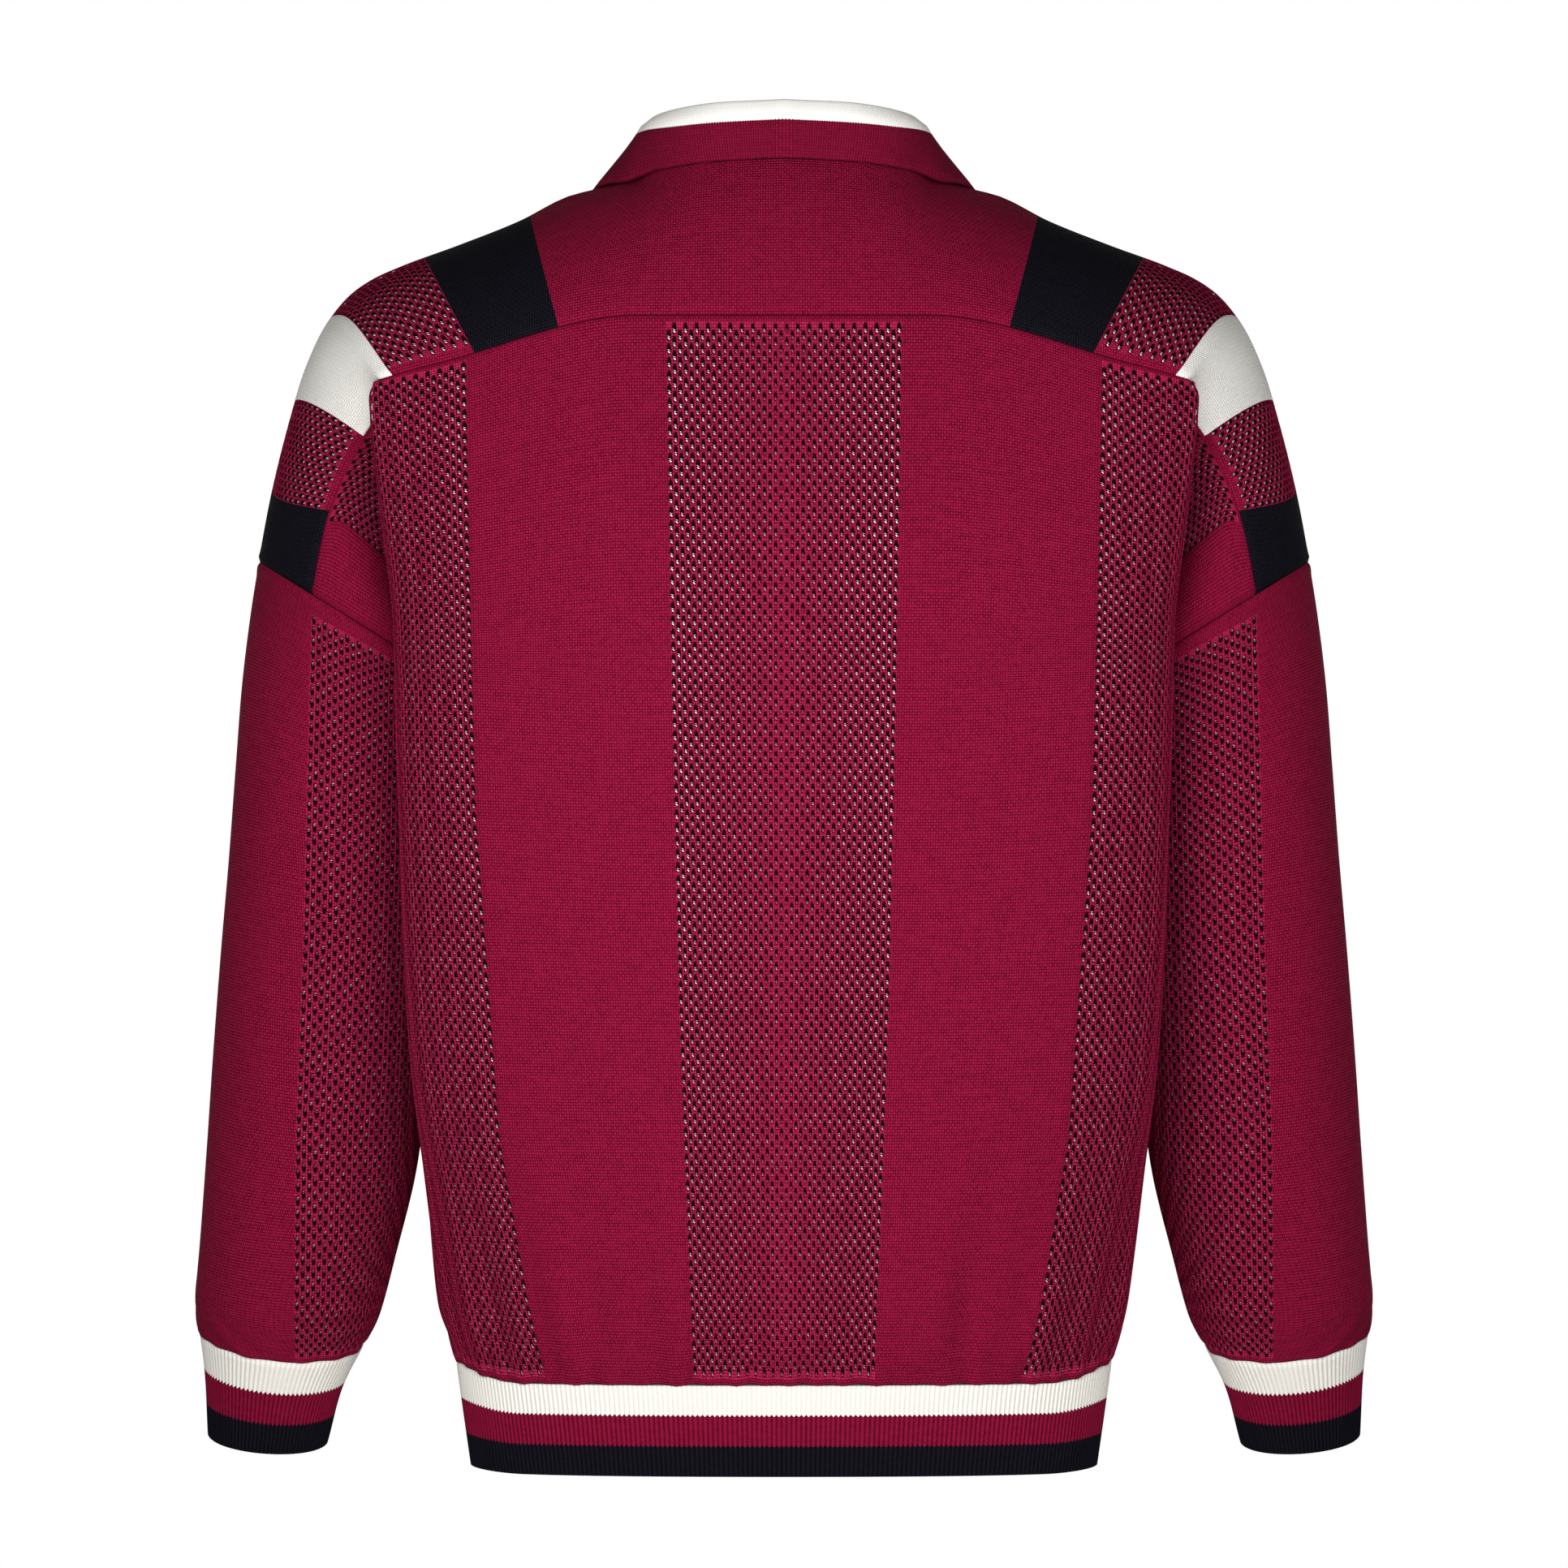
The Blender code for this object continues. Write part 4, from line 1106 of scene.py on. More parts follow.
def build_front():
    points, ids_low, ids_high, low, high = front_shells()
    quads = np.concatenate([grid_quads(ids_low), grid_quads(ids_high)])[:, ::-1]
    normals = face_normals_of(points, quads)
    uvs = np.zeros((len(points), 2))
    half = (ids_high.shape[1] - 1) // 2
    share = np.abs(np.arange(-half, half + 1)) / half
    u = np.sign(np.arange(-half, half + 1)) * share * FLAT_HALF_WIDTH
    extra = (ids_high.shape[1] - ids_low.shape[1]) // 2
    v_low = low * LOW_ROWS * HOLE_ROW
    v_high = (LOW_ROWS + high * HIGH_ROWS) * HOLE_ROW
    uvs[ids_low] = straight_marks(u[extra : len(u) - extra], v_low)
    uvs[ids_high] = straight_marks(u, v_high)
    distance = np.full(len(points), 1.0)
    along, length = distances(points[ids_high], 0)
    distance[ids_high] = length - along
    along_low, _ = distances(points[ids_low], 0)
    from_hem = np.full(len(points), 1.0)
    from_hem[ids_low] = along_low
    across, width = distances(points[ids_high], 1)
    distance[ids_high] = np.minimum(distance[ids_high], np.minimum(across, width - across))
    lift = seam_lift(distance) + RIB_SEAM_SHARE * seam_lift(from_hem)
    lift += puckers(uvs[:, 0], from_hem, HEM_PUCKERS)
    lift += broad_folds(uvs[:, 0] + FRONT_FOLD_SHIFT, from_hem)
    points = points + normals * lift[:, None]
    for ids in (ids_low[0][::-1], ids_high[-1], ids_high[::-1, 0], ids_high[:, -1]):
        turned = len(points) + np.arange(len(ids))
        points = np.concatenate([points, points[ids] - normals[ids] * TUCK_WIDTH])
        normals = np.concatenate([normals, normals[ids]])
        uvs = np.concatenate([uvs, uvs[ids] + TUCK_WIDTH])
        strip = np.column_stack([ids[1:], ids[:-1], turned[:-1], turned[1:]])
        quads = np.concatenate([quads, strip])
    zero = np.zeros(len(quads), dtype=int)
    return add_object("front_panel", points, [quads], uvs, [quads], KNIT[:1], [zero])


SMOOTHING_PASSES = 40
# The share of the rows at each edge that are smoothed less
SMOOTHING_EDGE = 0.2


def smoothed(grid):
    """A grid eased along each row, where points move only in and out and the edges stay."""
    place = np.linspace(0, 1, grid.shape[0])
    weight = np.clip(np.minimum(place, 1 - place) / SMOOTHING_EDGE, 0, 1)[:, None] * 0.5
    for _ in range(SMOOTHING_PASSES):
        normals = grid_normals(grid)[:, 1:-1]
        pull = (grid[:, :-2] + grid[:, 2:]) / 2 - grid[:, 1:-1]
        inward = np.sum(pull * normals, axis=2) * weight
        grid = grid.copy()
        grid[:, 1:-1] += inward[..., None] * normals
    return grid


def bowed(grid, shares):
    """A grid whose columns bow along the rows."""
    rows, columns = grid.shape[:2]
    bow = np.interp(shares, *np.array(BLOCK_BOW).T)
    number = np.arange(columns)
    for k in range(1, rows - 1):
        places = number + bow * math.sin(math.pi * k / (rows - 1))
        row = grid[k].copy()
        grid[k] = np.column_stack([np.interp(places, number, row[:, axis]) for axis in range(3)])
    return grid


YOKE_BACK_ROWS = 28
YOKE_FRONT_ROWS = 24


def make_yoke():
    back_lines = high_row(1.0, -1)
    back_line = joined(back_lines)
    lengths = [run_lengths(line)[-1] for line in back_lines]
    marks = np.concatenate([[0.0], np.cumsum(lengths)]) / sum(lengths)
    part_marks = np.cumsum([0, PANEL_PARTS, POCKET_PARTS, ARM_PARTS])
    neck_share = float(np.interp(NECK_PARTS, part_marks, marks))
    shares = [0.0]
    names = []
    start = 0.0
    for end, _, columns, name in YOKE_BLOCKS:
        shares += list(start + (end - start) * (np.arange(columns) + 1) / columns)
        names += [name] * columns
        start = end
    shares = np.array(shares)
    first_side = int(np.argmin(np.abs(shares - neck_share)))
    shares[first_side] = neck_share
    parts = np.interp(shares, marks, part_marks)
    neck_back, neck_side, _ = neckline_parts()
    shoulder = smooth_curve(SHOULDER + (tuple(seam_ring(0)),))
    stations = np.array([(neck_share, 0.0)] + [block[:2] for block in YOKE_BLOCKS])
    along_shoulder = np.interp(shares, stations[:, 0], stations[:, 1])
    front_line = front_top_half()
    scale = (len(front_line) - 1) / part_marks[-1]
    feet = at_shares(back_line, shares)
    backs = []
    fronts = []
    for k, part in enumerate(parts):
        near_neck = min(1.0, part / NECK_PARTS)
        outward = max(0.0, (part - NECK_PARTS) / (part_marks[-1] - NECK_PARTS))
        tilt = NECK_TILT * (1 - near_neck) + SHOULDER_TILT * near_neck * (1 - outward) ** 2
        if k < first_side:
            top = at_shares(neck_back, [near_neck])[0]
        else:
            top = at_shares(shoulder, [along_shoulder[k]])[0]
        end = BACK_TILT + (STRIP_ANGLE - BACK_TILT) * outward
        back = arch(top, feet[k], tilt, end)
        if k == len(parts) - 1:
            back = np.array([seam_ring(a) for a in np.linspace(0, STRIP_ANGLE, STEPS + 1)])
        backs.append(at_shares(back, np.linspace(0, 1, YOKE_BACK_ROWS + 1)))
        if k < first_side:
            continue
        place = part * scale
        whole = int(min(place, len(front_line) - 2))
        foot = front_line[whole] + (front_line[whole + 1] - front_line[whole]) * (place - whole)
        end = FRONT_TILT + (STRIP_ANGLE - FRONT_TILT) * outward
        front = arch(top, foot, tilt, end)
        if k == first_side:
            front = neck_side
        if k == len(parts) - 1:
            front = np.array([seam_ring(-a) for a in np.linspace(0, STRIP_ANGLE, STEPS + 1)])
        fronts.append(at_shares(front, np.linspace(0, 1, YOKE_FRONT_ROWS + 1)))
    backs = bowed(smoothed(np.swapaxes(np.array(backs), 0, 1)[::-1]), shares)
    fronts = smoothed(np.swapaxes(np.array(fronts), 0, 1))
    return backs, fronts, names, first_side


# How far the strip stands out, so that it lies over the edges of the panels
YOKE_LIFT = 0.0002
# How white the painted highlight strands in the eyelets are, and how open the eyelets are
YOKE_PALE = 0.75
YOKE_OPENNESS = 0.92


def build_yoke():
    """One strip over both shoulders. Its stitches run sideways, so u and v are swapped."""
    backs, fronts, names, first_side = make_yoke()
    whole_back = np.array([whole_row(row) for row in backs])
    rows, columns = whole_back.shape[:2]
    half = columns // 2
    wing = fronts.shape[1]
    ids_back = np.arange(rows * columns).reshape(rows, columns)
    points = [whole_back.reshape(-1, 3)]
    count = rows * columns
    wings = []
    for sign in (1, -1):
        ids = np.zeros((fronts.shape[0], wing), dtype=int)
        top = ids_back[-1] if sign > 0 else ids_back[-1, ::-1]
        ids[0] = top[half + first_side :]
        ids[1:] = count + np.arange((fronts.shape[0] - 1) * wing).reshape(-1, wing)
        count += (fronts.shape[0] - 1) * wing
        side = fronts[1:] if sign > 0 else mirrored(fronts[1:])
        points.append(side.reshape(-1, 3))
        wings.append(ids if sign > 0 else ids[:, ::-1])
    points = np.concatenate(points)
    quads = np.concatenate([grid_quads(ids_back)] + [grid_quads(ids) for ids in wings])
    normals = face_normals_of(points, quads)
    cell_names = names[::-1] + names
    color_row = np.array([COLOR_OF[name] for name in cell_names])
    mesh_row = np.array([name == "mesh" for name in cell_names])
    low, _ = distances(points[ids_back], 0)
    distance = np.full(len(points), 1.0)
    distance[ids_back] = low
    sideways, width = distances(points[ids_back], 1)
    distance[ids_back] = np.minimum(distance[ids_back], np.minimum(sideways, width - sideways))
    marks = np.zeros((len(points), 2))
    marks[ids_back] = np.stack([sideways - width / 2, low], axis=-1)
    for ids in wings:
        down, length = distances(points[ids], 0)
        across, start = marks[ids[0]].T
        marks[ids[1:]] = np.stack(np.broadcast_arrays(across, down[1:] + start), axis=-1)
        distance[ids] = np.minimum(distance[ids], length - down)
        sideways, width = distances(points[ids], 1)
        outer = sideways if ids is wings[1] else width - sideways
        distance[ids] = np.minimum(distance[ids], outer)
    points = points + normals * (seam_lift(distance) + YOKE_LIFT)[:, None]
    spans = (
        ("yoke_strip", ids_back, 0, columns - 1, ("first_row", "first_column", "last_column")),
        ("yoke_wing_right", wings[0], half + first_side, columns - 1, ("last_row", "last_column")),
        ("yoke_wing_left", wings[1], 0, half - first_side, ("last_row", "first_column")),
    )
    objects = []
    for name, ids, start, end, edges in spans:
        strip = ids is ids_back
        mesh_cells = np.tile(mesh_row[start:end], (ids.shape[0] - 1, 1))
        mesh_cells[slice(0, 1) if strip else slice(-2, None)] = False
        color = np.tile(color_row[start:end], (ids.shape[0] - 1, 1))
        color[(color == COLOR_OF["mesh"]) & ~mesh_cells] = COLOR_OF["burgundy"]
        cells = [color, mesh_cells]
        cells += [np.full(color.shape, value) for value in (YOKE_PALE, YOKE_OPENNESS)]
        grids = tucked(points[ids], normals[ids], marks[ids], cells, np.zeros(ids.shape), edges)
        objects.append(knit_shell(name, *grids))
    return objects


SLEEVE_COLUMNS = 114
SLEEVE_ROWS = 119
# The band of eyelets on the sleeve, in columns from its edge
SLEEVE_BAND = 34
# Where its outer edge runs on the worn sleeve: z, x
SLEEVE_LINE = (
    (-0.6179, 0.2617),
    (-0.5728, 0.2612),
    (-0.5040, 0.2602),
    (-0.3965, 0.2555),
    (-0.2288, 0.2510),
)
SLEEVE_FIRST_SHARES = (0.0, 0.0025, 0.006)
SLEEVE_FIRST_EVEN_SHARE = 0.011
SLEEVE_LAST_SHARES = (0.994, 0.997, 1.0)
# Rows without eyelets below the shoulder seam
SLEEVE_PLAIN_ROWS = 5
# How white the painted highlight strands in the eyelets are, and how open the eyelets are
SLEEVE_PALE = 0.04
SLEEVE_OPENNESS = 0.9
SLEEVE_RING_STEPS = 288


def make_sleeve(name, sign):
    even = np.linspace(SLEEVE_FIRST_EVEN_SHARE, 1.0, SLEEVE_ROWS)[:-1]
    shares = np.concatenate([SLEEVE_FIRST_SHARES, even, SLEEVE_LAST_SHARES])
    angles = np.linspace(0.0, 2 * math.pi, SLEEVE_RING_STEPS + 1)
    back = angles <= math.pi
    rows = []
    columns = np.arange(SLEEVE_COLUMNS + 1) / SLEEVE_COLUMNS
    line = np.array(SLEEVE_LINE)
    for share in shares:
        row = smooth_row(SLEEVE, share)
        ring = sleeve_ring(row, angles)
        lengths = run_lengths(ring)
        # The edge of the band, on the back half of the ring
        edge_x = np.interp(ring[back][:, 2], line[:, 0], line[:, 1])
        past = ring[back][:, 0] - edge_x
        edge = np.interp(0.0, -past, lengths[back])
        rows.append(at_shares(ring, (edge / lengths[-1] + columns) % 1.0))
    points = np.array(rows)
    points[:, -1] = points[:, 0]
    v = shares * SLEEVE_ROWS * HOLE_ROW
    mesh_cells = np.tile(np.arange(SLEEVE_COLUMNS) < SLEEVE_BAND, (len(shares) - 1, 1))
    mesh_cells[:SLEEVE_PLAIN_ROWS] = False
    mesh_cells[-PLAIN_ROWS:] = False
    along, length = distances(points, 0)
    around, girth = distances(points, 1)
    marks = np.stack([around, np.broadcast_to(v[:, None], around.shape)], axis=-1)
    lift = seam_lift(along) + RIB_SEAM_SHARE * seam_lift(length - along)
    lift += puckers(columns[None, :] * girth, length - along, CUFF_PUCKERS)
    cells = [np.where(mesh_cells, COLOR_OF["mesh"], COLOR_OF["burgundy"]), mesh_cells]
    cells += [np.full(mesh_cells.shape, value) for value in (SLEEVE_PALE, SLEEVE_OPENNESS)]
    normals = grid_normals(points[:, :-1], wrap=True)
    normals = np.concatenate([normals, normals[:, :1]], axis=1)
    if sign < 0:
        points = mirrored(points)
        normals = mirrored(normals)
    grids = tucked(points, normals, marks, cells, lift, ("first_row", "last_row"))
    return knit_shell(name, *grids, wrap=True, flip=sign < 0)


# Ribs

# Where each stripe of a band ends, and its place in RIB
STRIPES = ((0.333, 1), (0.672, 0), (1.0, 2))
STRIPE_STEPS = 5
HEM_RIBS = 370
CUFF_RIBS = 96
STEPS_PER_RIB = 4
BAND_DEPTH = 0.05
RIB_RELIEF = 0.00045
# The share of the relief that lies below the surface, and the share left at the band's top edge
RIB_SINK = 0.4
RIB_TOP_SHARE = 0.3
# How far the ribs carry the line between two stripes up and down
STRIPE_TEETH = 0.0005
SLOPE_STEP = 0.02
# The rounded edge at the bottom: how far it reaches down, and how far in its corners are
LIP_DROP = 0.0008
LIP_INSET = 0.0004
LIP_CORNER = 0.8
# Stitch coordinates of the lip's rows and of the inner face's
LIP_MARKS = (0.001, 0.002, 0.003)
INNER_MARK_STEP = 0.012


def rib_band(name, ring_at, rib_count, flip):
    """A closed band of ribs. ring_at(share, count) gives the outer face's ring at a depth."""
    count = rib_count * STEPS_PER_RIB
    phase = np.arange(count) * 2 * math.pi / STEPS_PER_RIB
    shares = []
    start = 0.0
    for end, _ in STRIPES:
        shares += list(start + (end - start) * (np.arange(STRIPE_STEPS) / STRIPE_STEPS))
        start = end
    shares.append(1.0)
    lines = [end for end, _ in STRIPES[:-1]]
    rows = []
    for share in shares:
        shift = STRIPE_TEETH / BAND_DEPTH * np.cos(phase) if share in lines else np.zeros(1)
        before, after = max(0.0, share - SLOPE_STEP), min(1.0, share + SLOPE_STEP)
        slope = (ring_at(after, count) - ring_at(before, count)) / (after - before)
        rows.append(ring_at(share, count) + slope * shift[:, None])
    outer = np.array(rows)
    normals = grid_normals(outer, wrap=True)
    if np.sum(normals * (outer - outer.mean(axis=(0, 1)))) < 0:
        normals = -normals
    raised = RIB_RELIEF * (np.cos(phase) - RIB_SINK)
    fade = np.ones((len(shares), 1))
    fade[0] = RIB_TOP_SHARE
    outer_face = outer + normals * (raised * fade)[..., None]
    inner = outer - normals * WALL
    down = units(outer[-1] - outer[-2]) * LIP_DROP
    inset = normals[-1] * LIP_INSET
    bottom = outer[-1] - normals[-1] * WALL / 2 + down
    lip = [outer[-1] - inset + down * LIP_CORNER, bottom, inner[-1] + inset + down * LIP_CORNER]
    inner = inner[::-STRIPE_STEPS]
    section = np.concatenate([outer_face, lip, inner])
    inner_marks = LIP_MARKS[-1] + np.arange(len(inner)) * INNER_MARK_STEP
    turned_marks = BAND_DEPTH + np.append(LIP_MARKS, inner_marks)
    v = np.concatenate([np.array(shares) * BAND_DEPTH, turned_marks, turned_marks[-1:] + WALL])
    stripe_colors = [color for _, color in STRIPES]
    colors = list(np.repeat(stripe_colors, STRIPE_STEPS)) + [stripe_colors[-1]] * (len(lip) + 1)
    colors += stripe_colors[::-1] + stripe_colors[:1]
    ids = np.arange(len(section) * count).reshape(-1, count)
    ids = np.concatenate([ids, ids[:, :1]], axis=1)
    quads = grid_quads(np.concatenate([ids, ids[:1]]))
    u = np.arange(count + 1) * RIB_PITCH / STEPS_PER_RIB
    uvs = straight_marks(u, v).reshape(-1, 2)
    uv_quads = grid_quads(np.arange(len(uvs)).reshape(-1, count + 1))
    if flip:
        quads = quads[:, ::-1]
        uv_quads = uv_quads[:, ::-1]
    return add_object(
        name, section.reshape(-1, 3), [quads], uvs, [uv_quads], RIB, [np.repeat(colors, count)]
    )


def make_hem():
    top = smooth_row(SECTIONS, HEM_SEAM_Z)

    def ring_at(share, count):
        z = HEM_SEAM_Z - SEAM_GAP + (HEM_Z - HEM_SEAM_Z) * share
        ring = body_ring(top - HEM_STEP - HEM_NARROWING * share, z, count)
        return hem_risen(ring, 1 - (1 - HEM_RISE_LOW) * share)

    return rib_band("hem_band", ring_at, HEM_RIBS, flip=True)


def make_cuff(name, sign):
    def ring_at(share, count):
        angles = math.pi - 2 * math.pi * np.arange(count) / count
        ring = sleeve_ring(smooth_row(CUFF, share), angles)
        return ring if sign > 0 else mirrored(ring)

    return rib_band(name, ring_at, CUFF_RIBS, flip=sign > 0)


LEAF_GAP = 0.0007


def eased(values, passes=6):
    """Values eased along their first axis, the same on both sides of the collar's middle."""
    for _ in range(passes):
        padded = np.concatenate([mirrored(values[1:2]), values, values[-2:-1]])
        values = (padded[:-2] + 2 * padded[1:-1] + padded[2:]) / 4
    return values


def laid_on(sections, rows, leaf_start, body):
    """The collar's sections, with the leaf turned about its fold until its edge is on the body."""
    share = np.clip((np.arange(rows) - leaf_start) / (rows - 1 - leaf_start), 0, 1)[:, None]
    turned = np.zeros((len(sections), rows, 3))
    for k, section in enumerate(sections):
        found, normal, _, _ = body.find_nearest(section[rows - 1])
        gap = float(np.dot(section[rows - 1] - np.array(found), np.array(normal))) - LEAF_GAP
        turned[k] = -np.array(normal) * gap * share
    turned = eased(turned)
    turned[0, :, 0] = 0.0
    for _ in range(2):
        pushed = np.zeros_like(turned)
        for k, section in enumerate(sections):
            for row in range(leaf_start, rows):
                spot = section[row] + turned[k, row]
                found, normal, _, _ = body.find_nearest(spot)
                gap = float(np.dot(spot - np.array(found), np.array(normal))) - LEAF_GAP
                pushed[k, row] = -np.array(normal) * min(0.0, gap)
        turned = turned + eased(pushed, 2)
    turned[0, :, 0] = 0.0
    return sections + np.concatenate([turned, turned], axis=1)


# Ribs of half the collar
COLLAR_RIBS = 218
STEPS_PER_COLLAR_RIB = 2
COLLAR_RELIEF = 0.00010
COLLAR_EDGE_RELIEF = 0.00005
# How far the ribs carry the edge of the cream up and down
CREAM_TEETH = 0.0004
# Sections of half the collar that are laid on the body
COLLAR_SECTIONS = 81
# Shares of the stand's height at its rows, and steps round the fold and down the leaf
STAND_PARTS = (0.0, 0.35, 0.7)
FOLD_STEPS = 7
LEAF_STEPS = 6
LEAF_START = len(STAND_PARTS) + FOLD_STEPS + 1
LEAST_CREAM = 0.0008
# The leaf's edge is thinner than the wall
LEAF_EDGE = 0.75


def collar_frame(line, share):
    """A point of the neckline, and the directions outward and upward there."""
    step = 0.01
    point, before, after = at_shares(line, [share, abs(share - step), 1 - abs(1 - share - step)])
    if share < step:
        before = mirrored(before)
    if share > 1 - step:
        after = mirrored(after)
    tangent = unit(after - before)
    outward = unit(np.cross(tangent, (0.0, 0.0, 1.0)))
    return point, outward, np.cross(outward, tangent)


def collar_section(line, share):
    """A section of the folded collar: its hidden and its visible face."""
    height, lean, leaf, slope, cream_reach = smooth_row(COLLAR, share)
    point, outward, upward = collar_frame(line, share)
    lean = math.radians(lean)
    slope = math.radians(slope)
    stand_up = upward * math.cos(lean) - outward * math.sin(lean)
    stand_out = outward * math.cos(lean) + upward * math.sin(lean)
    foot = point + stand_up * SEAM_GAP
    centre = point + stand_up * (height - WALL - ROLL_RADIUS) + stand_out * ROLL_RADIUS
    hidden = []
    shown = []
    top = centre - stand_out * ROLL_RADIUS
    for part in STAND_PARTS:
        hidden.append(foot + (top - foot) * part)
        shown.append(hidden[-1] - stand_out * WALL)
    turn_end = lean + slope
    for k in range(FOLD_STEPS + 1):
        angle = math.pi - (math.pi / 2 + turn_end) * k / FOLD_STEPS
        ray = stand_out * math.cos(angle) + stand_up * math.sin(angle)
        hidden.append(centre + ray * ROLL_RADIUS)
        shown.append(centre + ray * (ROLL_RADIUS + WALL))
    leaf_down = outward * math.cos(slope) - upward * math.sin(slope)
    leaf_out = outward * math.sin(slope) + upward * math.cos(slope)
    start = hidden[-1]
    reach = max(LEAST_CREAM, cream_reach)
    lengths = [reach * 0.5, reach]
    lengths += [reach + (leaf - reach) * k / LEAF_STEPS for k in range(1, LEAF_STEPS + 1)]
    for length in lengths:
        bulge = LEAF_BULGE * math.sin(math.pi * length / leaf)
        spot = start + leaf_down * length + leaf_out * bulge
        hidden.append(spot)
        shown.append(spot + leaf_out * (WALL if length < leaf else WALL * LEAF_EDGE))
    return np.array(hidden), np.array(shown)


COLLAR_CREAM_ROWS = 12


def make_collar(body):
    line = joined(neckline_parts())
    count = COLLAR_RIBS * STEPS_PER_COLLAR_RIB
    coarse = np.linspace(0, 1, COLLAR_SECTIONS)
    sections = []
    for k in coarse:
        share = COLLAR_END * k
        section = np.concatenate(collar_section(line, share))
        spread = np.concatenate(collar_section(line, share * (1 - COLLAR_SPREAD)))
        shift = np.tile(np.linspace(0, 1, len(section) // 2), 2)[:, None]
        sections.append(section * (1 - shift) + spread * shift)
    sections = np.array(sections)
    sections = laid_on(sections, sections.shape[1] // 2, LEAF_START, body)
    fine = np.linspace(0, 1, count + 1)
    half = np.stack([
        np.column_stack([np.interp(fine, coarse, sections[:, i, axis]) for axis in range(3)])
        for i in range(sections.shape[1])
    ])
    whole = np.array([whole_row(row) for row in half])
    rows = whole.shape[0] // 2
    hidden, shown = whole[:rows], whole[rows:]
    columns = whole.shape[1]
    normals = grid_normals(shown)
    if np.sum(normals * (shown - hidden)) < 0:
        normals = -normals
    phase = np.arange(-count, count + 1) * 2 * math.pi / STEPS_PER_COLLAR_RIB
    strength = np.full(rows, COLLAR_RELIEF)
    strength[-1] = COLLAR_EDGE_RELIEF
    shown = shown + normals * (strength[:, None] * np.cos(phase)[None, :])[..., None]
    boundary = COLLAR_CREAM_ROWS
    down = units(shown[boundary + 1] - shown[boundary - 1])
    shown[boundary] += down * (CREAM_TEETH * np.cos(phase))[:, None]
    points = np.concatenate([shown.reshape(-1, 3), hidden.reshape(-1, 3)])
    ids = np.arange(rows * columns).reshape(rows, columns)
    back_ids = ids + rows * columns
    face = grid_quads(ids)
    back = grid_quads(back_ids)[:, ::-1]
    rims = []
    edges = [(ids[0], back_ids[0]), (back_ids[-1], ids[-1])]
    edges += [(back_ids[:, 0], ids[:, 0]), (ids[:, -1], back_ids[:, -1])]
    for first, second in edges:
        rims.append(np.column_stack([first[1:], first[:-1], second[:-1], second[1:]]))
    quads = np.concatenate([face, back] + rims)
    u = np.arange(-count, count + 1) * COLLAR_RIB_PITCH / STEPS_PER_COLLAR_RIB
    uvs = straight_marks(u, run_lengths(shown[:, columns // 2])).reshape(-1, 2)
    uvs = np.concatenate([uvs, uvs])
    row_of_face = np.repeat(np.arange(rows - 1), columns - 1)
    color = np.where(row_of_face < boundary, 1, 0)
    colors = [color, color, np.full(columns - 1, 1), np.full(columns - 1, 0)]
    edge_color = np.where(np.arange(rows - 1) < boundary, 1, 0)
    colors += [edge_color, edge_color]
    colors = np.concatenate(colors)
    return add_object("collar_fold", points, [quads], uvs, [quads], COLLAR_RIB, [colors])


# The dressed part

back, back_inner = make_back()
front = build_front()
(yoke, yoke_inner), (wing_right, wing_right_inner), (wing_left, wing_left_inner) = build_yoke()
sleeve_right, sleeve_right_inner = make_sleeve("sleeve_shell_right", 1)
sleeve_left, sleeve_left_inner = make_sleeve("sleeve_shell_left", -1)
hem = make_hem()
cuff_right = make_cuff("cuff_band_right", 1)
cuff_left = make_cuff("cuff_band_left", -1)
yoke_corners = []
yoke_faces = []
for part in (yoke, wing_right, wing_left):
    first = len(yoke_corners)
    yoke_corners += [tuple(corner.co) for corner in part.data.vertices]
    yoke_faces += [tuple(first + k for k in face.vertices) for face in part.data.polygons]
collar = make_collar(BVHTree.FromPolygons(yoke_corners, yoke_faces))

# piece, its dark sheet of painted shade with painted highlights, node, cut width and length, how
# it is held, what it hangs from
CLOTH = (
    (back, back_inner, "back", (0.666, 0.590), "hung", [yoke]),
    (front, None, "front", (0.666, 0.610), "hung", [yoke]),
    (yoke, yoke_inner, "yoke", (0.660, 0.124), "hung", [collar]),
    (wing_right, wing_right_inner, "yoke", (0.230, 0.108), "hung", [yoke]),
    (wing_left, wing_left_inner, "yoke", (0.230, 0.108), "hung", [yoke]),
    (sleeve_right, sleeve_right_inner, "sleeve_right", (0.350, 0.430), "hung", [yoke]),
    (sleeve_left, sleeve_left_inner, "sleeve_left", (0.350, 0.430), "hung", [yoke]),
    (hem, None, "hem_rib", (0.950, 0.052), "gathered", [back, front]),
    (cuff_right, None, "cuff_right", (0.260, 0.056), "gathered", [sleeve_right]),
    (cuff_left, None, "cuff_left", (0.260, 0.056), "gathered", [sleeve_left]),
    (collar, None, "collar", (0.640, 0.062), "folded", [yoke]),
)
for piece, inner, node, flat, held, above in CLOTH:
    for part in filter(None, (piece, inner)):
        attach(part, "root")
        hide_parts(node)


# Stage

# Sines of the elevations where the walls' white ends and the ceiling's grey begins
WALL_TOP = 0.18
CEILING = 0.44
CEILING_LIGHT = 0.24
# Sines of the side directions between which the walls dim, and the light left at the sides
SIDE_START = 0.40
SIDE_END = 0.90
SIDE_LIGHT = 0.50
LIGHT_TARGET = (0.0, 0.0, -0.33)


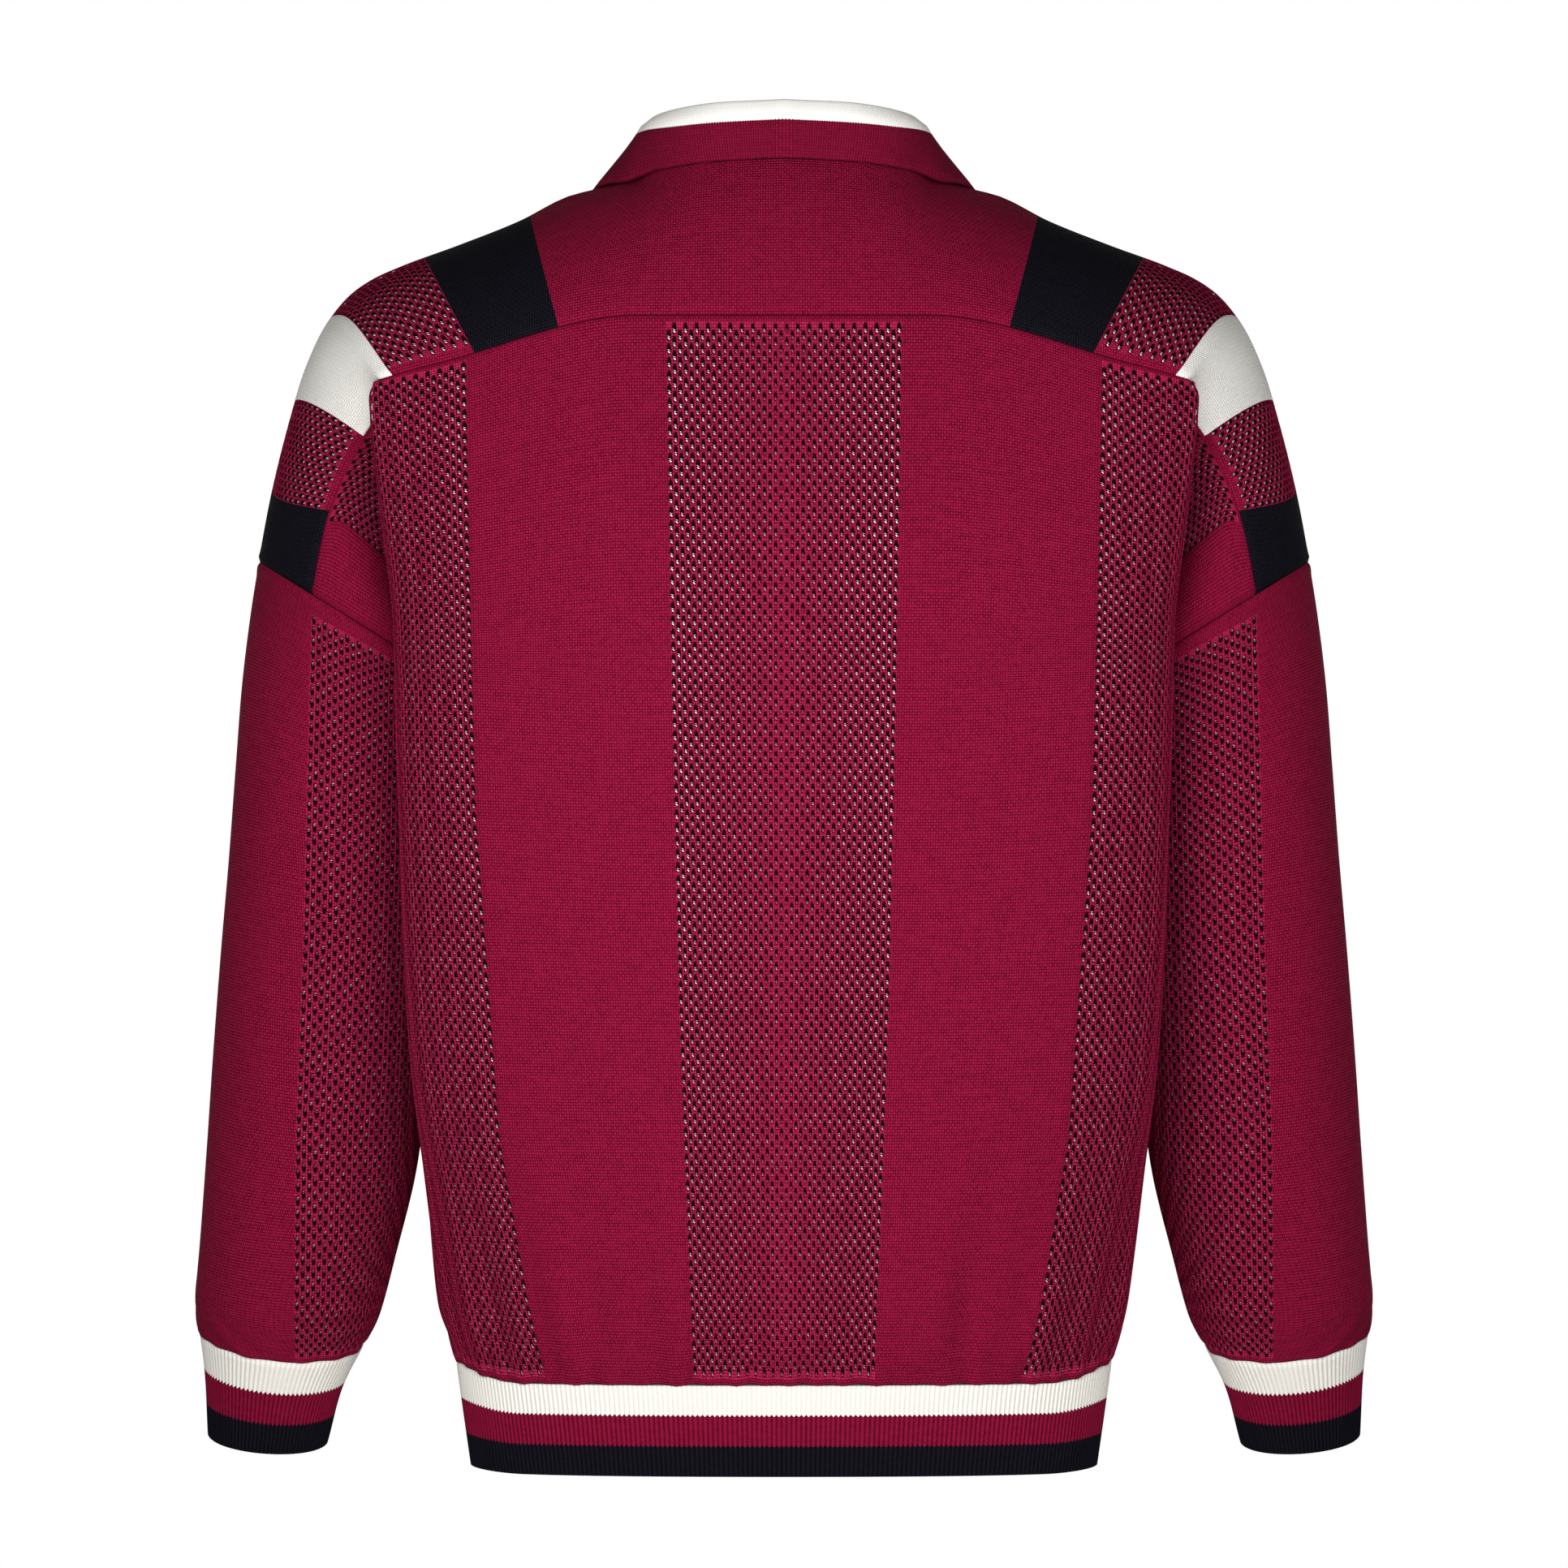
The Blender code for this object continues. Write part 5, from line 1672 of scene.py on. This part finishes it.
def area_light(name, place, size, energy):
    light = bpy.data.lights.new(name, "AREA")
    light.shape = "RECTANGLE"
    light.size, light.size_y = size
    light.energy = energy
    holder = bpy.data.objects.new(name, light)
    bpy.context.scene.collection.objects.link(holder)
    holder.location = place
    direction = np.array(place) - np.array(LIGHT_TARGET)
    azimuth = math.atan2(direction[0], -direction[1])
    elevation = math.atan2(direction[2], math.hypot(direction[0], direction[1]))
    holder.rotation_euler = (math.pi / 2 - elevation, 0.0, azimuth)
    return holder


area_light("key", (-0.30, -1.10, -0.27), (0.7, 0.6), 10.2)
area_light("fill", (0.40, -1.15, -0.30), (0.7, 0.6), 7.6)
area_light("rear", (0.0, 3.0, -0.10), (2.6, 2.2), 20.0)

world = bpy.data.worlds.new("studio")
world.use_nodes = True
# White walls before and behind, less light from the sides, a dim ceiling and a dim ground
sky_nodes = world.node_tree.nodes
sky_links = world.node_tree.links


def falling(source, start, end, least):
    """Full light where the source is small, falling from start to end to the least light."""
    size = sky_nodes.new("ShaderNodeMath")
    size.operation = "ABSOLUTE"
    fall = sky_nodes.new("ShaderNodeMapRange")
    fall.interpolation_type = "SMOOTHSTEP"
    for socket, value in zip(fall.inputs[1:5], (start, end, 1.0, least)):
        socket.default_value = value
    sky_links.new(source, size.inputs[0])
    sky_links.new(size.outputs[0], fall.inputs["Value"])
    return fall.outputs["Result"]


sky_place = sky_nodes.new("ShaderNodeTexCoord")
sky_parts = sky_nodes.new("ShaderNodeSeparateXYZ")
both = sky_nodes.new("ShaderNodeMath")
both.operation = "MULTIPLY"
sky_links.new(sky_place.outputs["Generated"], sky_parts.inputs[0])
heights = falling(sky_parts.outputs["Z"], WALL_TOP, CEILING, CEILING_LIGHT)
sides = falling(sky_parts.outputs["X"], SIDE_START, SIDE_END, SIDE_LIGHT)
sky_links.new(heights, both.inputs[0])
sky_links.new(sides, both.inputs[1])
sky_links.new(both.outputs[0], sky_nodes["Background"].inputs["Strength"])
sky_nodes["Background"].inputs["Color"].default_value = (1.0, 1.0, 1.0, 1.0)
bpy.context.scene.world = world

FLOOR_Z = -1.10
FLOOR_RADIUS = 5.5
FLOOR_CORNERS = 96
turns = [2 * math.pi * k / FLOOR_CORNERS for k in range(FLOOR_CORNERS)]
rim = [(FLOOR_RADIUS * math.cos(turn), FLOOR_RADIUS * math.sin(turn), FLOOR_Z) for turn in turns]
floor_mesh = bpy.data.meshes.new("floor")
floor_mesh.from_pydata(rim, [], [tuple(range(FLOOR_CORNERS))])
floor = bpy.data.objects.new("floor", floor_mesh)
floor_paint = bpy.data.materials.new("pale_floor")
floor_paint.use_nodes = True
floor_shader = floor_paint.node_tree.nodes["Principled BSDF"]
floor_shader.inputs["Base Color"].default_value = (0.90, 0.90, 0.90, 1.0)
floor_shader.inputs["Roughness"].default_value = 0.9
floor_mesh.materials.append(floor_paint)
bpy.context.scene.collection.objects.link(floor)

camera_data = bpy.data.cameras.new("camera")
camera_data.sensor_width = 36.0
camera_data.lens = camera_data.sensor_width * CAMERA_DISTANCE / VIEW_WIDTH
camera_data.clip_end = 60.0
camera = bpy.data.objects.new("camera", camera_data)
camera.location = (0.0, -CAMERA_DISTANCE, VIEW_MIDDLE_Z)
camera.rotation_euler = (math.pi / 2, 0.0, 0.0)
bpy.context.scene.collection.objects.link(camera)
bpy.context.scene.camera = camera
bpy.context.scene.view_settings.view_transform = "Standard"
